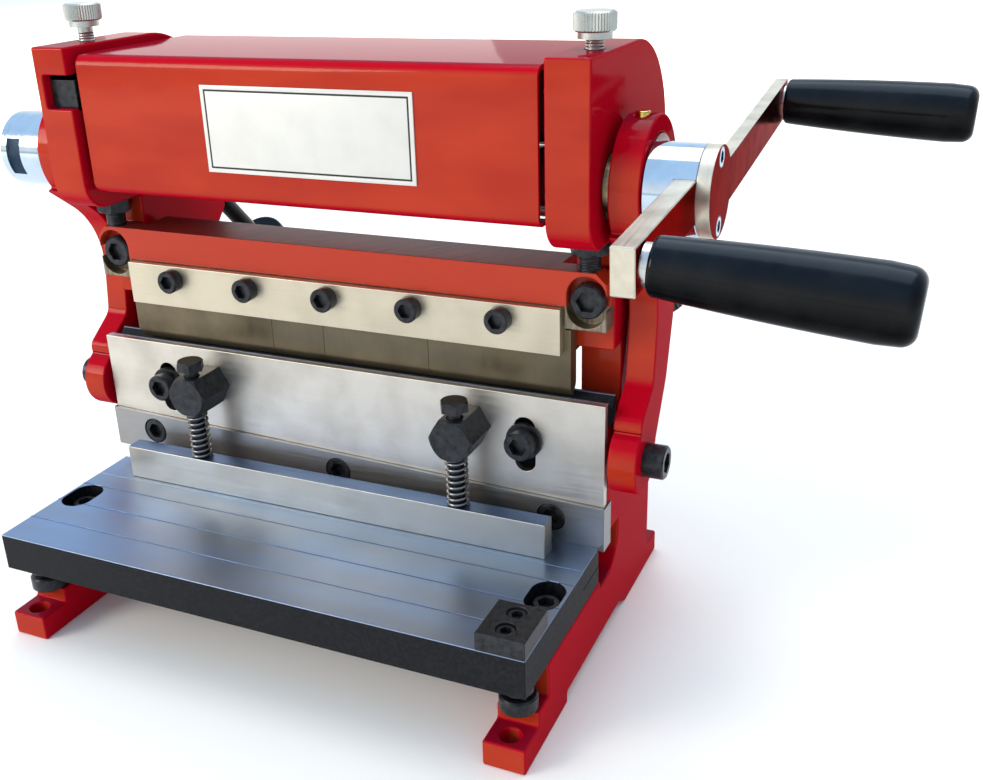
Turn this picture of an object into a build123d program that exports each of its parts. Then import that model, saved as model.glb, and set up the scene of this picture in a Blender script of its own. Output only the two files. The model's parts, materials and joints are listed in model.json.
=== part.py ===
from build123d import *
import math
import os

# A bench machine for sheet metal: a shear below, a press brake in the middle and a slip roll on top.
# X runs along the blades to the right, Y runs to the rear and Z runs up, all in millimetres.
# The origin is the centre of the four foot bolt holes, on the plane that the feet stand on.

# Clearances shared by the whole machine
FIT_GAP = 0.05
SLIDE_GAP = 0.1
CUT_OVERRUN = 1.0
EDGE_RADIUS = 0.8

# Side frames
FRAME_GAP = 196.0
FRAME_THICKNESS = 16.0
FOOT_TOE = 13.6
FOOT_HEEL = 14.0
FOOT_HEIGHT = 10.3
FOOT_HOLE_RADIUS = 3.75
FOOT_HOLE_SETBACK = 6.6
JACK_LEDGE_HEIGHT = 16.5
JACK_LEDGE_LEAD = 0.9
TABLE_LEDGE_GAP = 2.0
TABLE_UNDERSIDE = 30.15
LEDGE_END_Y = 0.0
LEDGE_RELIEF = 3.35
THROAT_RADIUS = 15.0
COLUMN_FRONT = 22.0
COLUMN_DEPTH = 44.0
PAD_FRONT = 13.0
PAD_REACH = 10.0
PAD_TOP_DROP = 0.8
NECK_FRONT = 16.0
HEAD_CLEARANCE = 11.2
HEAD_FRONT = -15.9
HEAD_HEIGHT = 64.4
HEAD_REAR_OVERHANG = 9.4
HEAD_REAR_DRAFT = 1.2
HEAD_REAR_RADIUS = 38.4
HEAD_CHIN_RADIUS = 12.0
HEAD_REAR_DROP = 18.0
HEAD_REAR_STEP = 9.0
HEAD_STEP_RADIUS = 6.0
REAR_LUG_HEIGHT = 9.5
LUG_FILLET = 3.0
BASE_ARCH_HEIGHT = 4.7
BASE_ARCH_FRONT = -37.4
BASE_ARCH_REAR = 34.3
BASE_ARCH_SLOPE = 8.6
CORNER_RADIUS = 1.0

# Table, its height screws and its side fence
TABLE_SIDE_STEP = 0.3
TABLE_THICKNESS = 15.45
TABLE_FRONT = -77.9
TABLE_SCREW_Y = -38.0
TABLE_SLOT_Y = -39.05
TABLE_SLOT_TRAVEL = 6.3
TABLE_POCKET_RADIUS = 6.5
TABLE_SCREW_SINK = 3.5
TABLE_LINE_PLACES = (-61.0, -44.9, -29.4)
TABLE_LINE_WIDTH = 0.35
TABLE_LINE_DEPTH = 0.2
JACK_SETBACK = 12.4
JACK_NUT_RADIUS = 7.0
JACK_NUT_HEIGHT = 6.0
JACK_HEAD_RADIUS = 5.5
JACK_HEAD_HEIGHT = 6.15
JACK_DEPTH = 2.0
FENCE_WIDTH = 18.1
FENCE_DEPTH = 21.4
FENCE_HEIGHT = 7.0
FENCE_SCREW_SPACING = 9.9
FENCE_SCREW_SETBACK = 5.9
FENCE_SCREW_SINK = 0.8

# Lower shear blade, and the plane that both blades meet in
SHEAR_PLANE = -1.6
SHEAR_GAP = 0.05
LOWER_BLADE_DEPTH = 17.7
LOWER_BLADE_HEIGHT = 8.0
LOWER_BLADE_INSET = 0.2
LOWER_BLADE_COVER = 2.0
LOWER_BLADE_SCREW_shares = (-0.705, -0.238, 0.238, 0.705)

# Moving beam with its front plate, bending die and upper shear blade
RAM_OVERHANG = 1.0
PLATE_THICKNESS = 3.0
PLATE_HEIGHT = 37.7
BLADE_LIFT = 2.6
BLADE_RAKE_DROP = 7.8
PLATE_SLOT_INSET = 31.7
PLATE_SLOT_RISE = 6.1
PLATE_SLOT_HEIGHT = 22.5
PLATE_SLOT_WIDTH = 8.4
PLATE_SCREW_RISE = 19.4
PLATE_WASHER_RADIUS = 7.2
PLATE_WASHER_THICKNESS = 1.6
UPPER_BLADE_HEIGHT = 18.2
UPPER_BLADE_OVERHANG = 0.7
UPPER_BLADE_DEPTH = 8.05
UPPER_BLADE_SCREW_INSET = 21.0
UPPER_BLADE_SCREW_RISE = 1.0
DIE_DEPTH = 10.0
DIE_HEIGHT = 10.1
DIE_GROOVE_DEPTH = 4.0
RAM_WEB_RISE = 4.0
RAM_NOSE_DROP = 14.0
RAM_RIB_DEPTH = 14.0
RAM_RIB_RISE = 7.6
RAM_RIB_HEIGHT = 18.0

# Hold-down bar with its posts, bolts and springs
POST_INSET = 54.7
POST_RISE = 22.7
POST_ACROSS_FLATS = 16.0
POST_LENGTH = 18.5
POST_STUD_RADIUS = 4.0
POST_STUD_LENGTH = 14.0
POST_HOLE_RADIUS = 3.4
HOLD_DOWN_Y = -12.7
HOLD_BAR_END_GAP = 0.7
HOLD_BAR_DEPTH = 7.85
HOLD_BAR_HEIGHT = 14.6
HOLD_BOLT_GRIP = 39.8
HOLD_BOLT_ACROSS_FLATS = 10.0
HOLD_BOLT_HEAD = 4.0
HOLD_BOLT_THREAD = 10.0
SPRING_RADIUS = 3.9
SPRING_WIRE_RADIUS = 0.6
SPRING_TURNS = 7
SPRING_LEAD_HEIGHT = 1.9
SPRING_LEAD_TURN_share = 0.1
GAP_STEPS_share = 3

# Upper beam, punch fingers and their clamp
BEAM_FRONT = 4.0
BEAM_BACK = 26.0
BEAM_SIDE_STEP = 0.5
BEAM_LIP_HEIGHT = 13.5
FINGER_DROP = 14.6
BEAM_EAR_HEIGHT = 21.8
BEAM_END_CHAMFER = 4.0
BEAM_LIP_GAP = 0.3
BEAM_SLOT_TRAVEL = 4.5
BEAM_POCKET_RADIUS = 7.5
BEAM_POCKET_DEPTH = 5.5
BEAM_SCREW_DROP = 11.2
BEAM_SCREW_DEPTH = 18.0
BEAM_JACK_Y = 8.0
BEAM_JACK_BITE = 4.0
BEAM_NUT_ACROSS_FLATS = 13.0
BEAM_NUT_HEIGHT = 5.0
CLAMP_END_GAP = 0.8
CLAMP_RISE = 17.7
CLAMP_HEIGHT = 17.9
CLAMP_THICKNESS = 4.0
CLAMP_SEAT = 4.9
CLAMP_SCREW_RISE = 12.2
CLAMP_SCREW_PITCH = 37.0
CLAMP_SCREW_COUNT = 5
FINGER_SET_OVERHANG = 2.0
FINGER_HEIGHT = 26.8
FINGER_THICKNESS = 6.2
FINGER_BEVEL_HEIGHT = 4.2
FINGER_TIP_FLAT = 0.4
FINGER_OVERLAP = 0.7
FINGER_GAP = 0.1
FINGER_DIVISION_shares = (-0.3, -0.055, 0.415)

# Shaft with the lower roll, its bushes and eccentrics
SHAFT_Y = 8.4
SHAFT_RISE = 19.5
SHAFT_RADIUS = 9.0
ROLL_RADIUS = 12.5
BUSH_RADIUS = 12.0
BUSH_FLANGE_RADIUS = 14.0
BUSH_FLANGE = 2.0
ECCENTRICITY = 7.0
ECCENTRIC_RADIUS = 17.0
ROD_STANDOFF = 3.0
ROD_THICKNESS = 11.0
HUB_GAP = 0.3
HUB_RADIUS = 15.7
HUB_BODY_LENGTH = 10.1
HUB_CHAMFER = 0.3
CAP_THICKNESS = 3.1
CAP_RADIUS = 15.5

# Connecting rods, from the eccentric down to the moving beam
ROD_RING_RADIUS = 23.4
ROD_PIVOT_RISE = 14.6
ROD_PIVOT_Y = 9.0
ROD_BOSS_RADIUS = 13.3
ROD_PIN_RADIUS = 4.5
ROD_EYE_PLAY = 1.0
ROD_EYE_OFFSET = 0.63
ROD_BOLT_HEAD_RADIUS = 6.5
ROD_BOLT_HEAD = 8.0
ROD_BOLT_BITE = 15.0
ROD_FRONT_shares = ((-0.214, 0.142), (0.063, 0.352), (0.018, 0.735), (-0.139, 0.850))
ROD_REAR_shares = ((-0.055, 0.985), (0.067, 0.985), (0.196, 0.776), (0.313, 0.395), (0.229, 0.000))
ROD_FRONT_RADIUS_shares = (0.0, 0.340, 0.060, 0.050)
ROD_REAR_RADIUS_shares = (0.0, 0.0, 0.250, 0.300, 0.0)
OILER_RADIUS = 2.6
OILER_RISE = 1.4
OILER_DEPTH = 3.0
OILER_LEAN = -2.4

# Crank arms and grips
ARM_WIDTH = 15.0
FRONT_ARM_THICKNESS = 7.5
FRONT_ARM_REACH = 80.5
FRONT_ARM_ROOT = 12.0
FRONT_ARM_ANGLE = 183.4
FRONT_GRIP_SETBACK = 8.5
FRONT_GRIP_DROOP = 4.0
FRONT_COLLAR = 2.4
REAR_ARM_THICKNESS = 4.8
REAR_ARM_REACH = 118.0
REAR_ARM_ANGLE = 6.2
REAR_GRIP_SETBACK = 6.0
REAR_GRIP_DROOP = 2.2
REAR_COLLAR = 0.8
GRIP_LENGTH = 71.5
GRIP_NECK_RADIUS = 8.8
GRIP_END_RADIUS = 11.1
GRIP_WIDEST_share = 0.86
GRIP_NECK_ROUND = 1.6
GRIP_END_TAPER = 0.4
GRIP_END_ROUND = 4.0
GRIP_BORE_share = 0.8
SPINDLE_RADIUS = 4.0
SPINDLE_COLLAR_RADIUS = 6.5
LEVER_SCREW_OFFSET = 11.6
LEVER_SCREW_DEPTH = 12.0

# Upper roll with its bearing blocks and thumb screws
ROLL_GAP = 1.0
ROLL_END_GAP = 2.1
UPPER_JOURNAL_RADIUS = 3.5
JOURNAL_END_GAP = 0.4
UPPER_POCKET_HEIGHT = 12.9
UPPER_POCKET_DEPTH = 12.4
UPPER_POCKET_LENGTH = 26.0
UPPER_BLOCK_HEIGHT = 10.7
UPPER_BLOCK_LOW = 4.45
UPPER_BLOCK_RECESS = 3.9
THUMB_SHIFT = 1.0
THUMB_STEM_LENGTH = 16.0
THUMB_COLLAR_RADIUS = 5.85
THUMB_COLLAR_HEIGHT = 2.2
THUMB_KNOB_RADIUS = 7.25
THUMB_KNOB_HEIGHT = 6.6
THUMB_LEFT_RISE = 2.2
KNURL_COUNT = 44
KNURL_DEPTH = 0.35

# Rear bending roll with its bearing blocks and screws, which lie along a falling diagonal
REAR_ROLL_Y = 46.0
REAR_ROLL_DROP = 3.5
REAR_SCREW_ANGLE = 45.0
REAR_JOURNAL_RADIUS = 4.0
REAR_BLOCK_SIZE = 18.0
REAR_BLOCK_THICKNESS = 11.0
REAR_TRAVEL = 10.5
REAR_SCREW_REACH = 84.0
REAR_KNOB_RADIUS = 13.5
REAR_KNOB_LENGTH = 12.0

# Cover over the rolls, the bar that carries it, and the plain plate on its front
COVER_END_GAP = 2.9
COVER_FRONT = -13.4
COVER_REAR = 60.0
COVER_TOP_DROP = 2.9
COVER_HEIGHT = 53.7
COVER_SHEET = 1.5
COVER_BEND = 4.5
COVER_RETURN = 10.0
COVER_REAR_FLANGE = 16.0
RAIL_SIZE = 12.0
RAIL_SPIGOT_RADIUS = 4.0
RAIL_SPIGOT_LENGTH = 8.0
COVER_SCREW_shares = (-0.736, 0.0, 0.736)
COVER_SCREW_DROP = 8.5
LABEL_WIDTH = 87.5
LABEL_HEIGHT = 32.0
LABEL_THICKNESS = 0.5
LABEL_SHIFT = 6.25
LABEL_RISE = 12.2

# Rear tie bar between the frames
TIE_BAR_DROP = 34.0
TIE_BAR_HEIGHT = 25.0
TIE_BAR_THICKNESS = 10.0
TIE_BAR_INSET = 2.0
TIE_BOLT_ACROSS_FLATS = 13.0
TIE_BOLT_HEAD = 6.0
TIE_BOLT_BITE = 20.0
TIE_WASHER_RADIUS = 8.0
TIE_WASHER_THICKNESS = 1.6

# Standard screws: half the thread, half the head and the head's height
M4 = (2.0, 3.5, 4.0)
M5 = (2.5, 4.75, 5.0)
M6 = (3.0, 5.75, 6.0)
M6_TABLE = (3.0, 5.2, 6.0)
M8_LOW = (4.0, 6.5, 5.0)
SOCKET_WIDTH_share = 0.56
SOCKET_DEPTH_share = 0.49
SCREW_BITE_share = 2.0
CLAMP_SCREW_BITE_share = 3.0
LEVER_HEAD_share = 0.6
HEAD_CHAMFER_share = 0.1

# Places worked out from the sizes above
frame_inner = FRAME_GAP / 2
frame_outer = frame_inner + FRAME_THICKNESS
frame_middle = frame_inner + FRAME_THICKNESS / 2

# Depths of the frame, from the table's height screws back to the heads
jack_y = TABLE_FRONT + JACK_SETBACK
jack_ledge = jack_y - JACK_LEDGE_LEAD
table_ledge = jack_y + JACK_NUT_RADIUS + TABLE_LEDGE_GAP
base_front = jack_ledge - FOOT_TOE
column_rear = COLUMN_FRONT + COLUMN_DEPTH
base_rear = column_rear + FOOT_HEEL
head_rear = column_rear + HEAD_REAR_OVERHANG
tie_bar_rear = column_rear - TIE_BAR_INSET

# Half lengths of the pieces that lie across the frames
table_half = frame_outer - TABLE_SIDE_STEP
lower_blade_half = table_half - LOWER_BLADE_INSET
ram_end = frame_outer + RAM_OVERHANG
upper_blade_half = ram_end + UPPER_BLADE_OVERHANG
blade_screw_x = ram_end - UPPER_BLADE_SCREW_INSET
plate_slot_x = ram_end - PLATE_SLOT_INSET
post_x = ram_end - POST_INSET
beam_half = frame_outer - BEAM_SIDE_STEP
hold_bar_half = frame_inner - HOLD_BAR_END_GAP
clamp_half = frame_inner - CLAMP_END_GAP
finger_set_half = frame_inner + FINGER_SET_OVERHANG
cover_half = frame_inner - COVER_END_GAP
roll_end = frame_inner - ROLL_END_GAP

# Heights, from the table up to the top of the head
table_top = TABLE_UNDERSIDE + TABLE_THICKNESS
hold_bar_top = table_top + HOLD_BAR_HEIGHT
plate_low = table_top + BLADE_LIFT + UPPER_BLADE_HEIGHT
plate_top = plate_low + PLATE_HEIGHT
plate_slot_low = plate_low + PLATE_SLOT_RISE
plate_slot_high = plate_slot_low + PLATE_SLOT_HEIGHT
plate_screw_z = plate_low + PLATE_SCREW_RISE
pivot_z = plate_low + ROD_PIVOT_RISE
rib_low = plate_low + RAM_RIB_RISE
rib_high = rib_low + RAM_RIB_HEIGHT
post_z = plate_low + POST_RISE
post_bottom = post_z - POST_ACROSS_FLATS / 2
die_bottom = plate_top - DIE_HEIGHT
finger_tip = plate_top - FINGER_OVERLAP
finger_top = finger_tip + FINGER_HEIGHT
beam_bottom = finger_tip + FINGER_DROP
clamp_bottom = finger_tip + CLAMP_RISE
clamp_screw_z = clamp_bottom + CLAMP_SCREW_RISE
lip_bottom = clamp_bottom + CLAMP_HEIGHT + BEAM_LIP_GAP
beam_top = lip_bottom + BEAM_LIP_HEIGHT
ear_bottom = beam_top - BEAM_EAR_HEIGHT
beam_screw_z = beam_top - BEAM_SCREW_DROP
pad_top = beam_top - PAD_TOP_DROP
pad_bottom = ear_bottom - PAD_REACH
head_underside = beam_top + HEAD_CLEARANCE
head_top = head_underside + HEAD_HEIGHT
head_rear_low = head_underside - HEAD_REAR_DROP
shaft_z = head_underside + SHAFT_RISE
rod_length = shaft_z - pivot_z
upper_roll_z = shaft_z + 2 * ROLL_RADIUS + ROLL_GAP
pocket_bottom = upper_roll_z - UPPER_BLOCK_LOW - FIT_GAP
rear_roll_z = shaft_z - REAR_ROLL_DROP
cover_top = head_top - COVER_TOP_DROP
cover_bottom = cover_top - COVER_HEIGHT
label_bottom = cover_bottom + LABEL_RISE
tie_bar_bottom = head_rear_low - TIE_BAR_DROP
tie_bar_middle_z = tie_bar_bottom + TIE_BAR_HEIGHT / 2
rail_top = cover_top - COVER_SHEET

# Places along the depth
table_rear = SHEAR_PLANE
blade_front = SHEAR_PLANE - LOWER_BLADE_DEPTH
die_middle = PLATE_THICKNESS + DIE_DEPTH / 2
upper_blade_front = SHEAR_PLANE + SHEAR_GAP
upper_blade_back = upper_blade_front + UPPER_BLADE_DEPTH
ram_back = COLUMN_FRONT - SLIDE_GAP
finger_front = CLAMP_SEAT
ring_y = SHAFT_Y + ECCENTRICITY
rail_rear = COVER_REAR - COVER_SHEET
tie_bar_middle_y = tie_bar_rear - TIE_BAR_THICKNESS / 2

# Places outward from the frames
rod_inner = frame_outer + ROD_STANDOFF
rod_outer = rod_inner + ROD_THICKNESS
hub_inner = rod_outer + HUB_GAP
slot_inner = hub_inner + HUB_BODY_LENGTH
hub_outer = slot_inner + FRONT_ARM_THICKNESS
thumb_x = frame_middle + THUMB_SHIFT
front_grip_reach = FRONT_ARM_REACH - FRONT_GRIP_SETBACK
rear_grip_reach = REAR_ARM_REACH - REAR_GRIP_SETBACK


def block(x, y, z):
    """A box between three pairs of low and high places."""
    spans = (x, y, z)
    middle = [(low + high) / 2 for low, high in spans]
    size = [high - low for low, high in spans]
    return Pos(*middle) * Box(*size)


def rod_x(radius, x, y, z):
    return Pos((x[0] + x[1]) / 2, y, z) * Rot(0, 90, 0) * Cylinder(radius, x[1] - x[0])


def rod_y(radius, x, y, z):
    return Pos(x, (y[0] + y[1]) / 2, z) * Rot(90, 0, 0) * Cylinder(radius, y[1] - y[0])


def rod_z(radius, x, y, z):
    return Pos(x, y, (z[0] + z[1]) / 2) * Cylinder(radius, z[1] - z[0])


def side_shape(corners, x):
    """An outline of (y, z, corner radius) drawn out along X."""
    places = [(y, z) for y, z, radius in corners]
    radii = [radius for y, z, radius in corners]
    face = make_face(FilletPolyline(*places, radius=radii, close=True))
    return extrude(Plane.YZ.offset(x[0]) * face, amount=x[1] - x[0])


def front_shape(corners, y):
    """An outline of (x, z) drawn out along Y."""
    face = make_face(Polyline(*corners, close=True))
    return extrude(Plane.XZ.offset(-y[1]) * face, amount=y[1] - y[0])


def mirrored(piece):
    return mirror(piece, Plane.YZ)


def save(node, *pieces):
    solids = [solid for piece in pieces for solid in piece.solids()]
    shape = solids[0] if len(solids) == 1 else Compound(solids)
    export_step(shape, f"parts/{node}.step")


# Screws stand on Z with the underside of the head at zero and the thread below
def socket_screw(size, length):
    shank_radius, head_radius, head_height = size
    head = Pos(0, 0, head_height / 2) * Cylinder(head_radius, head_height)
    rim = head.edges().filter_by(GeomType.CIRCLE).sort_by(Axis.Z)[-1]
    head = chamfer(rim, head_radius * HEAD_CHAMFER_share)
    socket_depth = head_height * SOCKET_DEPTH_share
    socket = RegularPolygon(head_radius * SOCKET_WIDTH_share, 6, major_radius=False)
    cut = extrude(Pos(0, 0, head_height - socket_depth) * socket, amount=socket_depth + CUT_OVERRUN)
    shank = Pos(0, 0, -length / 2) * Cylinder(shank_radius, length)
    return head - cut + shank


def hexagon_head(across_flats, height):
    """A hexagon head from zero up, its top corners turned off."""
    head = extrude(RegularPolygon(across_flats / 2, 6, major_radius=False), amount=height)
    rim_radius = across_flats / 2 / math.cos(math.radians(30))
    drop = rim_radius - across_flats / 2
    turned = Pos(0, 0, height / 2) * Cylinder(rim_radius, height)
    rim = turned.edges().filter_by(GeomType.CIRCLE).sort_by(Axis.Z)[-1]
    turned = chamfer(rim, drop)
    return head & turned


def hexagon_bolt(shank_radius, across_flats, head_height, length):
    shank = Pos(0, 0, -length / 2) * Cylinder(shank_radius, length)
    return hexagon_head(across_flats, head_height) + shank


def knurled_knob(radius, height):
    """A round knob from zero up, with straight ridges round its rim."""
    points = []
    for step in range(2 * KNURL_COUNT):
        angle = math.pi * step / KNURL_COUNT
        reach = radius - KNURL_DEPTH * (step % 2)
        points.append((reach * math.cos(angle), reach * math.sin(angle)))
    knob = extrude(make_face(Polyline(*points, close=True)), amount=height)
    turned = Pos(0, 0, height / 2) * Cylinder(radius, height)
    turned = chamfer(turned.edges().filter_by(GeomType.CIRCLE), 2 * KNURL_DEPTH)
    return knob & turned


def plate_bottom(x):
    """Height of the front plate's raked lower edge, where the upper blade hangs."""
    return plate_low - BLADE_RAKE_DROP * x / (2 * ram_end)


def along_diagonal(piece):
    """Turn a piece that stands on Z so that it points down the rear screws' diagonal."""
    tilt = Rot(-(90 + REAR_SCREW_ANGLE), 0, 0)
    return Pos(0, REAR_ROLL_Y, rear_roll_z) * tilt * piece


# Side frames
def frame_blank():
    rear_low = head_rear - HEAD_REAR_DRAFT
    corners = [
        (base_front, 0, 0),
        (base_front, FOOT_HEIGHT, CORNER_RADIUS),
        (jack_ledge, FOOT_HEIGHT, CORNER_RADIUS),
        (jack_ledge, JACK_LEDGE_HEIGHT, CORNER_RADIUS),
        (table_ledge, JACK_LEDGE_HEIGHT, CORNER_RADIUS),
        (table_ledge, TABLE_UNDERSIDE, CORNER_RADIUS),
        (LEDGE_END_Y, TABLE_UNDERSIDE, 0),
        (LEDGE_END_Y, TABLE_UNDERSIDE - LEDGE_RELIEF, CORNER_RADIUS),
        (COLUMN_FRONT, TABLE_UNDERSIDE - LEDGE_RELIEF, THROAT_RADIUS),
        (COLUMN_FRONT, pad_bottom, CORNER_RADIUS),
        (PAD_FRONT, pad_bottom, 0),
        (PAD_FRONT, pad_top, 0),
        (NECK_FRONT, pad_top, CORNER_RADIUS),
        (NECK_FRONT, head_underside, CORNER_RADIUS),
        (HEAD_FRONT, head_underside, HEAD_CHIN_RADIUS),
        (HEAD_FRONT, head_top, CORNER_RADIUS),
        (head_rear, head_top, HEAD_REAR_RADIUS),
        (rear_low, head_rear_low, HEAD_STEP_RADIUS),
        (column_rear, head_rear_low - HEAD_REAR_STEP, HEAD_STEP_RADIUS),
        (column_rear, REAR_LUG_HEIGHT, LUG_FILLET),
        (base_rear, REAR_LUG_HEIGHT, CORNER_RADIUS),
        (base_rear, 0, 0),
        (BASE_ARCH_REAR, 0, 0),
        (BASE_ARCH_REAR - BASE_ARCH_SLOPE, BASE_ARCH_HEIGHT, CORNER_RADIUS),
        (BASE_ARCH_FRONT, BASE_ARCH_HEIGHT, CORNER_RADIUS),
        (BASE_ARCH_FRONT, 0, 0),
    ]
    return side_shape(corners, (frame_inner, frame_outer))


def upper_pocket(open_front):
    """Space for a bearing block of the upper roll, open to the inner side of the frame."""
    front = SHAFT_Y - UPPER_POCKET_LENGTH / 2
    if open_front:
        front = HEAD_FRONT - CUT_OVERRUN
    rear = SHAFT_Y + UPPER_POCKET_LENGTH / 2
    x = (frame_inner - CUT_OVERRUN, frame_inner + UPPER_POCKET_DEPTH)
    return block(x, (front, rear), (pocket_bottom, pocket_bottom + UPPER_POCKET_HEIGHT))


def rear_pocket():
    """Slanted space in which a bearing block of the rear roll slides towards the other rolls."""
    half = REAR_BLOCK_SIZE / 2 + SLIDE_GAP
    x = (frame_inner - CUT_OVERRUN, frame_inner + REAR_BLOCK_THICKNESS + SLIDE_GAP)
    return along_diagonal(block(x, (-half, half), (-half - REAR_TRAVEL, half)))


def frame_holes():
    stud_top = head_underside + BEAM_JACK_BITE + FIT_GAP
    pocket_top = pocket_bottom + UPPER_POCKET_HEIGHT
    through = (frame_inner - CUT_OVERRUN, frame_outer + CUT_OVERRUN)
    beam_screw_end = BEAM_FRONT + BEAM_POCKET_DEPTH + BEAM_SCREW_DEPTH + FIT_GAP
    table_screw_floor = table_top - TABLE_SCREW_SINK - M6_TABLE[2] - BEAM_SCREW_DEPTH
    front_hole = base_front + FOOT_HOLE_SETBACK
    rear_hole = base_rear - FOOT_HOLE_SETBACK
    jack_floor = JACK_LEDGE_HEIGHT - JACK_DEPTH - FIT_GAP
    holes = [
        rod_x(BUSH_RADIUS + FIT_GAP, through, SHAFT_Y, shaft_z),
        rod_z(FOOT_HOLE_RADIUS, frame_middle, front_hole, (-CUT_OVERRUN, FOOT_HEIGHT + CUT_OVERRUN)),
        rod_z(FOOT_HOLE_RADIUS, frame_middle, rear_hole, (-CUT_OVERRUN, REAR_LUG_HEIGHT + CUT_OVERRUN)),
        rod_z(M6[0] + FIT_GAP, frame_middle, jack_y, (jack_floor, JACK_LEDGE_HEIGHT + CUT_OVERRUN)),
        rod_z(M6[0] + FIT_GAP, frame_middle, TABLE_SCREW_Y, (table_screw_floor, TABLE_UNDERSIDE + CUT_OVERRUN)),
        rod_y(M8_LOW[0] + FIT_GAP, frame_middle, (PAD_FRONT - CUT_OVERRUN, beam_screw_end), beam_screw_z),
        rod_z(M8_LOW[0] + FIT_GAP, frame_middle, BEAM_JACK_Y, (head_underside - CUT_OVERRUN, stud_top)),
        rod_z(M6[0] + FIT_GAP, thumb_x, SHAFT_Y, (pocket_top - CUT_OVERRUN, head_top + CUT_OVERRUN)),
        rod_x(M8_LOW[0] + FIT_GAP, through, tie_bar_middle_y, tie_bar_middle_z),
    ]
    return holes


def side_frame(open_front):
    frame = frame_blank()
    for hole in frame_holes():
        frame -= hole
    spigot_end = frame_inner + RAIL_SPIGOT_LENGTH + FIT_GAP
    spigot_x = (frame_inner - CUT_OVERRUN, spigot_end)
    frame -= rod_x(RAIL_SPIGOT_RADIUS + FIT_GAP, spigot_x, rail_rear - RAIL_SIZE / 2, rail_top - RAIL_SIZE / 2)
    frame -= upper_pocket(open_front)
    frame -= rear_pocket()
    screw_x = frame_inner + REAR_BLOCK_THICKNESS / 2
    frame -= along_diagonal(rod_z(M8_LOW[0] + FIT_GAP, screw_x, 0, (0, REAR_SCREW_REACH)))
    return frame


# Table and what sits on it
def table_plate():
    half = table_half
    top = block((-half, half), (TABLE_FRONT, blade_front), (TABLE_UNDERSIDE, table_top))
    tongue_top = table_top - LOWER_BLADE_HEIGHT
    tongue = block((-half, half), (blade_front, table_rear), (TABLE_UNDERSIDE, tongue_top))
    table = top + tongue
    for y in TABLE_LINE_PLACES:
        line_y = (y - TABLE_LINE_WIDTH / 2, y + TABLE_LINE_WIDTH / 2)
        table -= block((-half, half), line_y, (table_top - TABLE_LINE_DEPTH, table_top))
    screw_floor = table_top - TABLE_SCREW_SINK - M6_TABLE[2]
    for side in (-1, 1):
        x = side * frame_middle
        table -= long_hole_z(x, TABLE_POCKET_RADIUS, (screw_floor, table_top + CUT_OVERRUN))
        table -= long_hole_z(x, M6_TABLE[0] + SLIDE_GAP, (TABLE_UNDERSIDE - CUT_OVERRUN, table_top))
    for x in lower_blade_screw_places():
        middle = (blade_front + table_rear) / 2
        below = TABLE_UNDERSIDE - CUT_OVERRUN
        table -= rod_z(M4[0] + SLIDE_GAP, x, middle, (below, tongue_top + CUT_OVERRUN))
        table -= rod_z(M4[1] + SLIDE_GAP, x, middle, (below, TABLE_UNDERSIDE + M4[2] + FIT_GAP))
    for y in fence_screw_places():
        thread = (table_top - M4[2] - FIT_GAP, table_top + CUT_OVERRUN)
        table -= rod_z(M4[0] + FIT_GAP, fence_middle_x(), y, thread)
    return table


def long_hole_z(x, radius, z):
    """A hole lengthened along Y for the table's sideways setting."""
    reach = TABLE_SLOT_TRAVEL / 2
    ends = [rod_z(radius, x, TABLE_SLOT_Y + side * reach, z) for side in (-1, 1)]
    middle = block((x - radius, x + radius), (TABLE_SLOT_Y - reach, TABLE_SLOT_Y + reach), z)
    return middle + ends[0] + ends[1]


def lower_shear_blade():
    half = lower_blade_half
    bottom = table_top - LOWER_BLADE_HEIGHT
    blade = block((-half, half), (blade_front, table_rear), (bottom, table_top))
    for x in lower_blade_screw_places():
        middle = (blade_front + table_rear) / 2
        blade -= rod_z(M4[0] + FIT_GAP, x, middle, (bottom - CUT_OVERRUN, lower_screw_top() + FIT_GAP))
    return blade


def lower_blade_screw_places():
    return [share * lower_blade_half for share in LOWER_BLADE_SCREW_shares]


def lower_screw_top():
    return table_top - LOWER_BLADE_COVER


def lower_blade_screws():
    length = lower_screw_top() - TABLE_UNDERSIDE - M4[2]
    screw = Rot(180, 0, 0) * socket_screw(M4, length)
    middle = (blade_front + table_rear) / 2
    return [Pos(x, middle, TABLE_UNDERSIDE + M4[2]) * screw for x in lower_blade_screw_places()]


def table_screws():
    floor = table_top - TABLE_SCREW_SINK - M6_TABLE[2]
    screw = socket_screw(M6_TABLE, BEAM_SCREW_DEPTH - FIT_GAP)
    return [Pos(side * frame_middle, TABLE_SCREW_Y, floor) * screw for side in (-1, 1)]


def table_jacks():
    """Screws that carry the table's front edge, each with a round lock nut on the frame."""
    head_bottom = TABLE_UNDERSIDE - JACK_HEAD_HEIGHT
    screw = rod_z(M6[0], frame_middle, jack_y, (JACK_LEDGE_HEIGHT - JACK_DEPTH, head_bottom))
    screw += rod_z(JACK_HEAD_RADIUS, frame_middle, jack_y, (head_bottom, TABLE_UNDERSIDE))
    nut_top = JACK_LEDGE_HEIGHT + JACK_NUT_HEIGHT
    nut = rod_z(JACK_NUT_RADIUS, frame_middle, jack_y, (JACK_LEDGE_HEIGHT, nut_top))
    nut = chamfer(nut.edges().filter_by(GeomType.CIRCLE), JACK_NUT_RADIUS * HEAD_CHAMFER_share)
    nut -= rod_z(M6[0] + FIT_GAP, frame_middle, jack_y, (JACK_LEDGE_HEIGHT, nut_top))
    return [screw, nut, mirrored(screw), mirrored(nut)]


def fence_middle_x():
    return table_half - FENCE_WIDTH / 2


def fence_screw_places():
    first = TABLE_FRONT + FENCE_SCREW_SETBACK
    return (first, first + FENCE_SCREW_SPACING)


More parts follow.
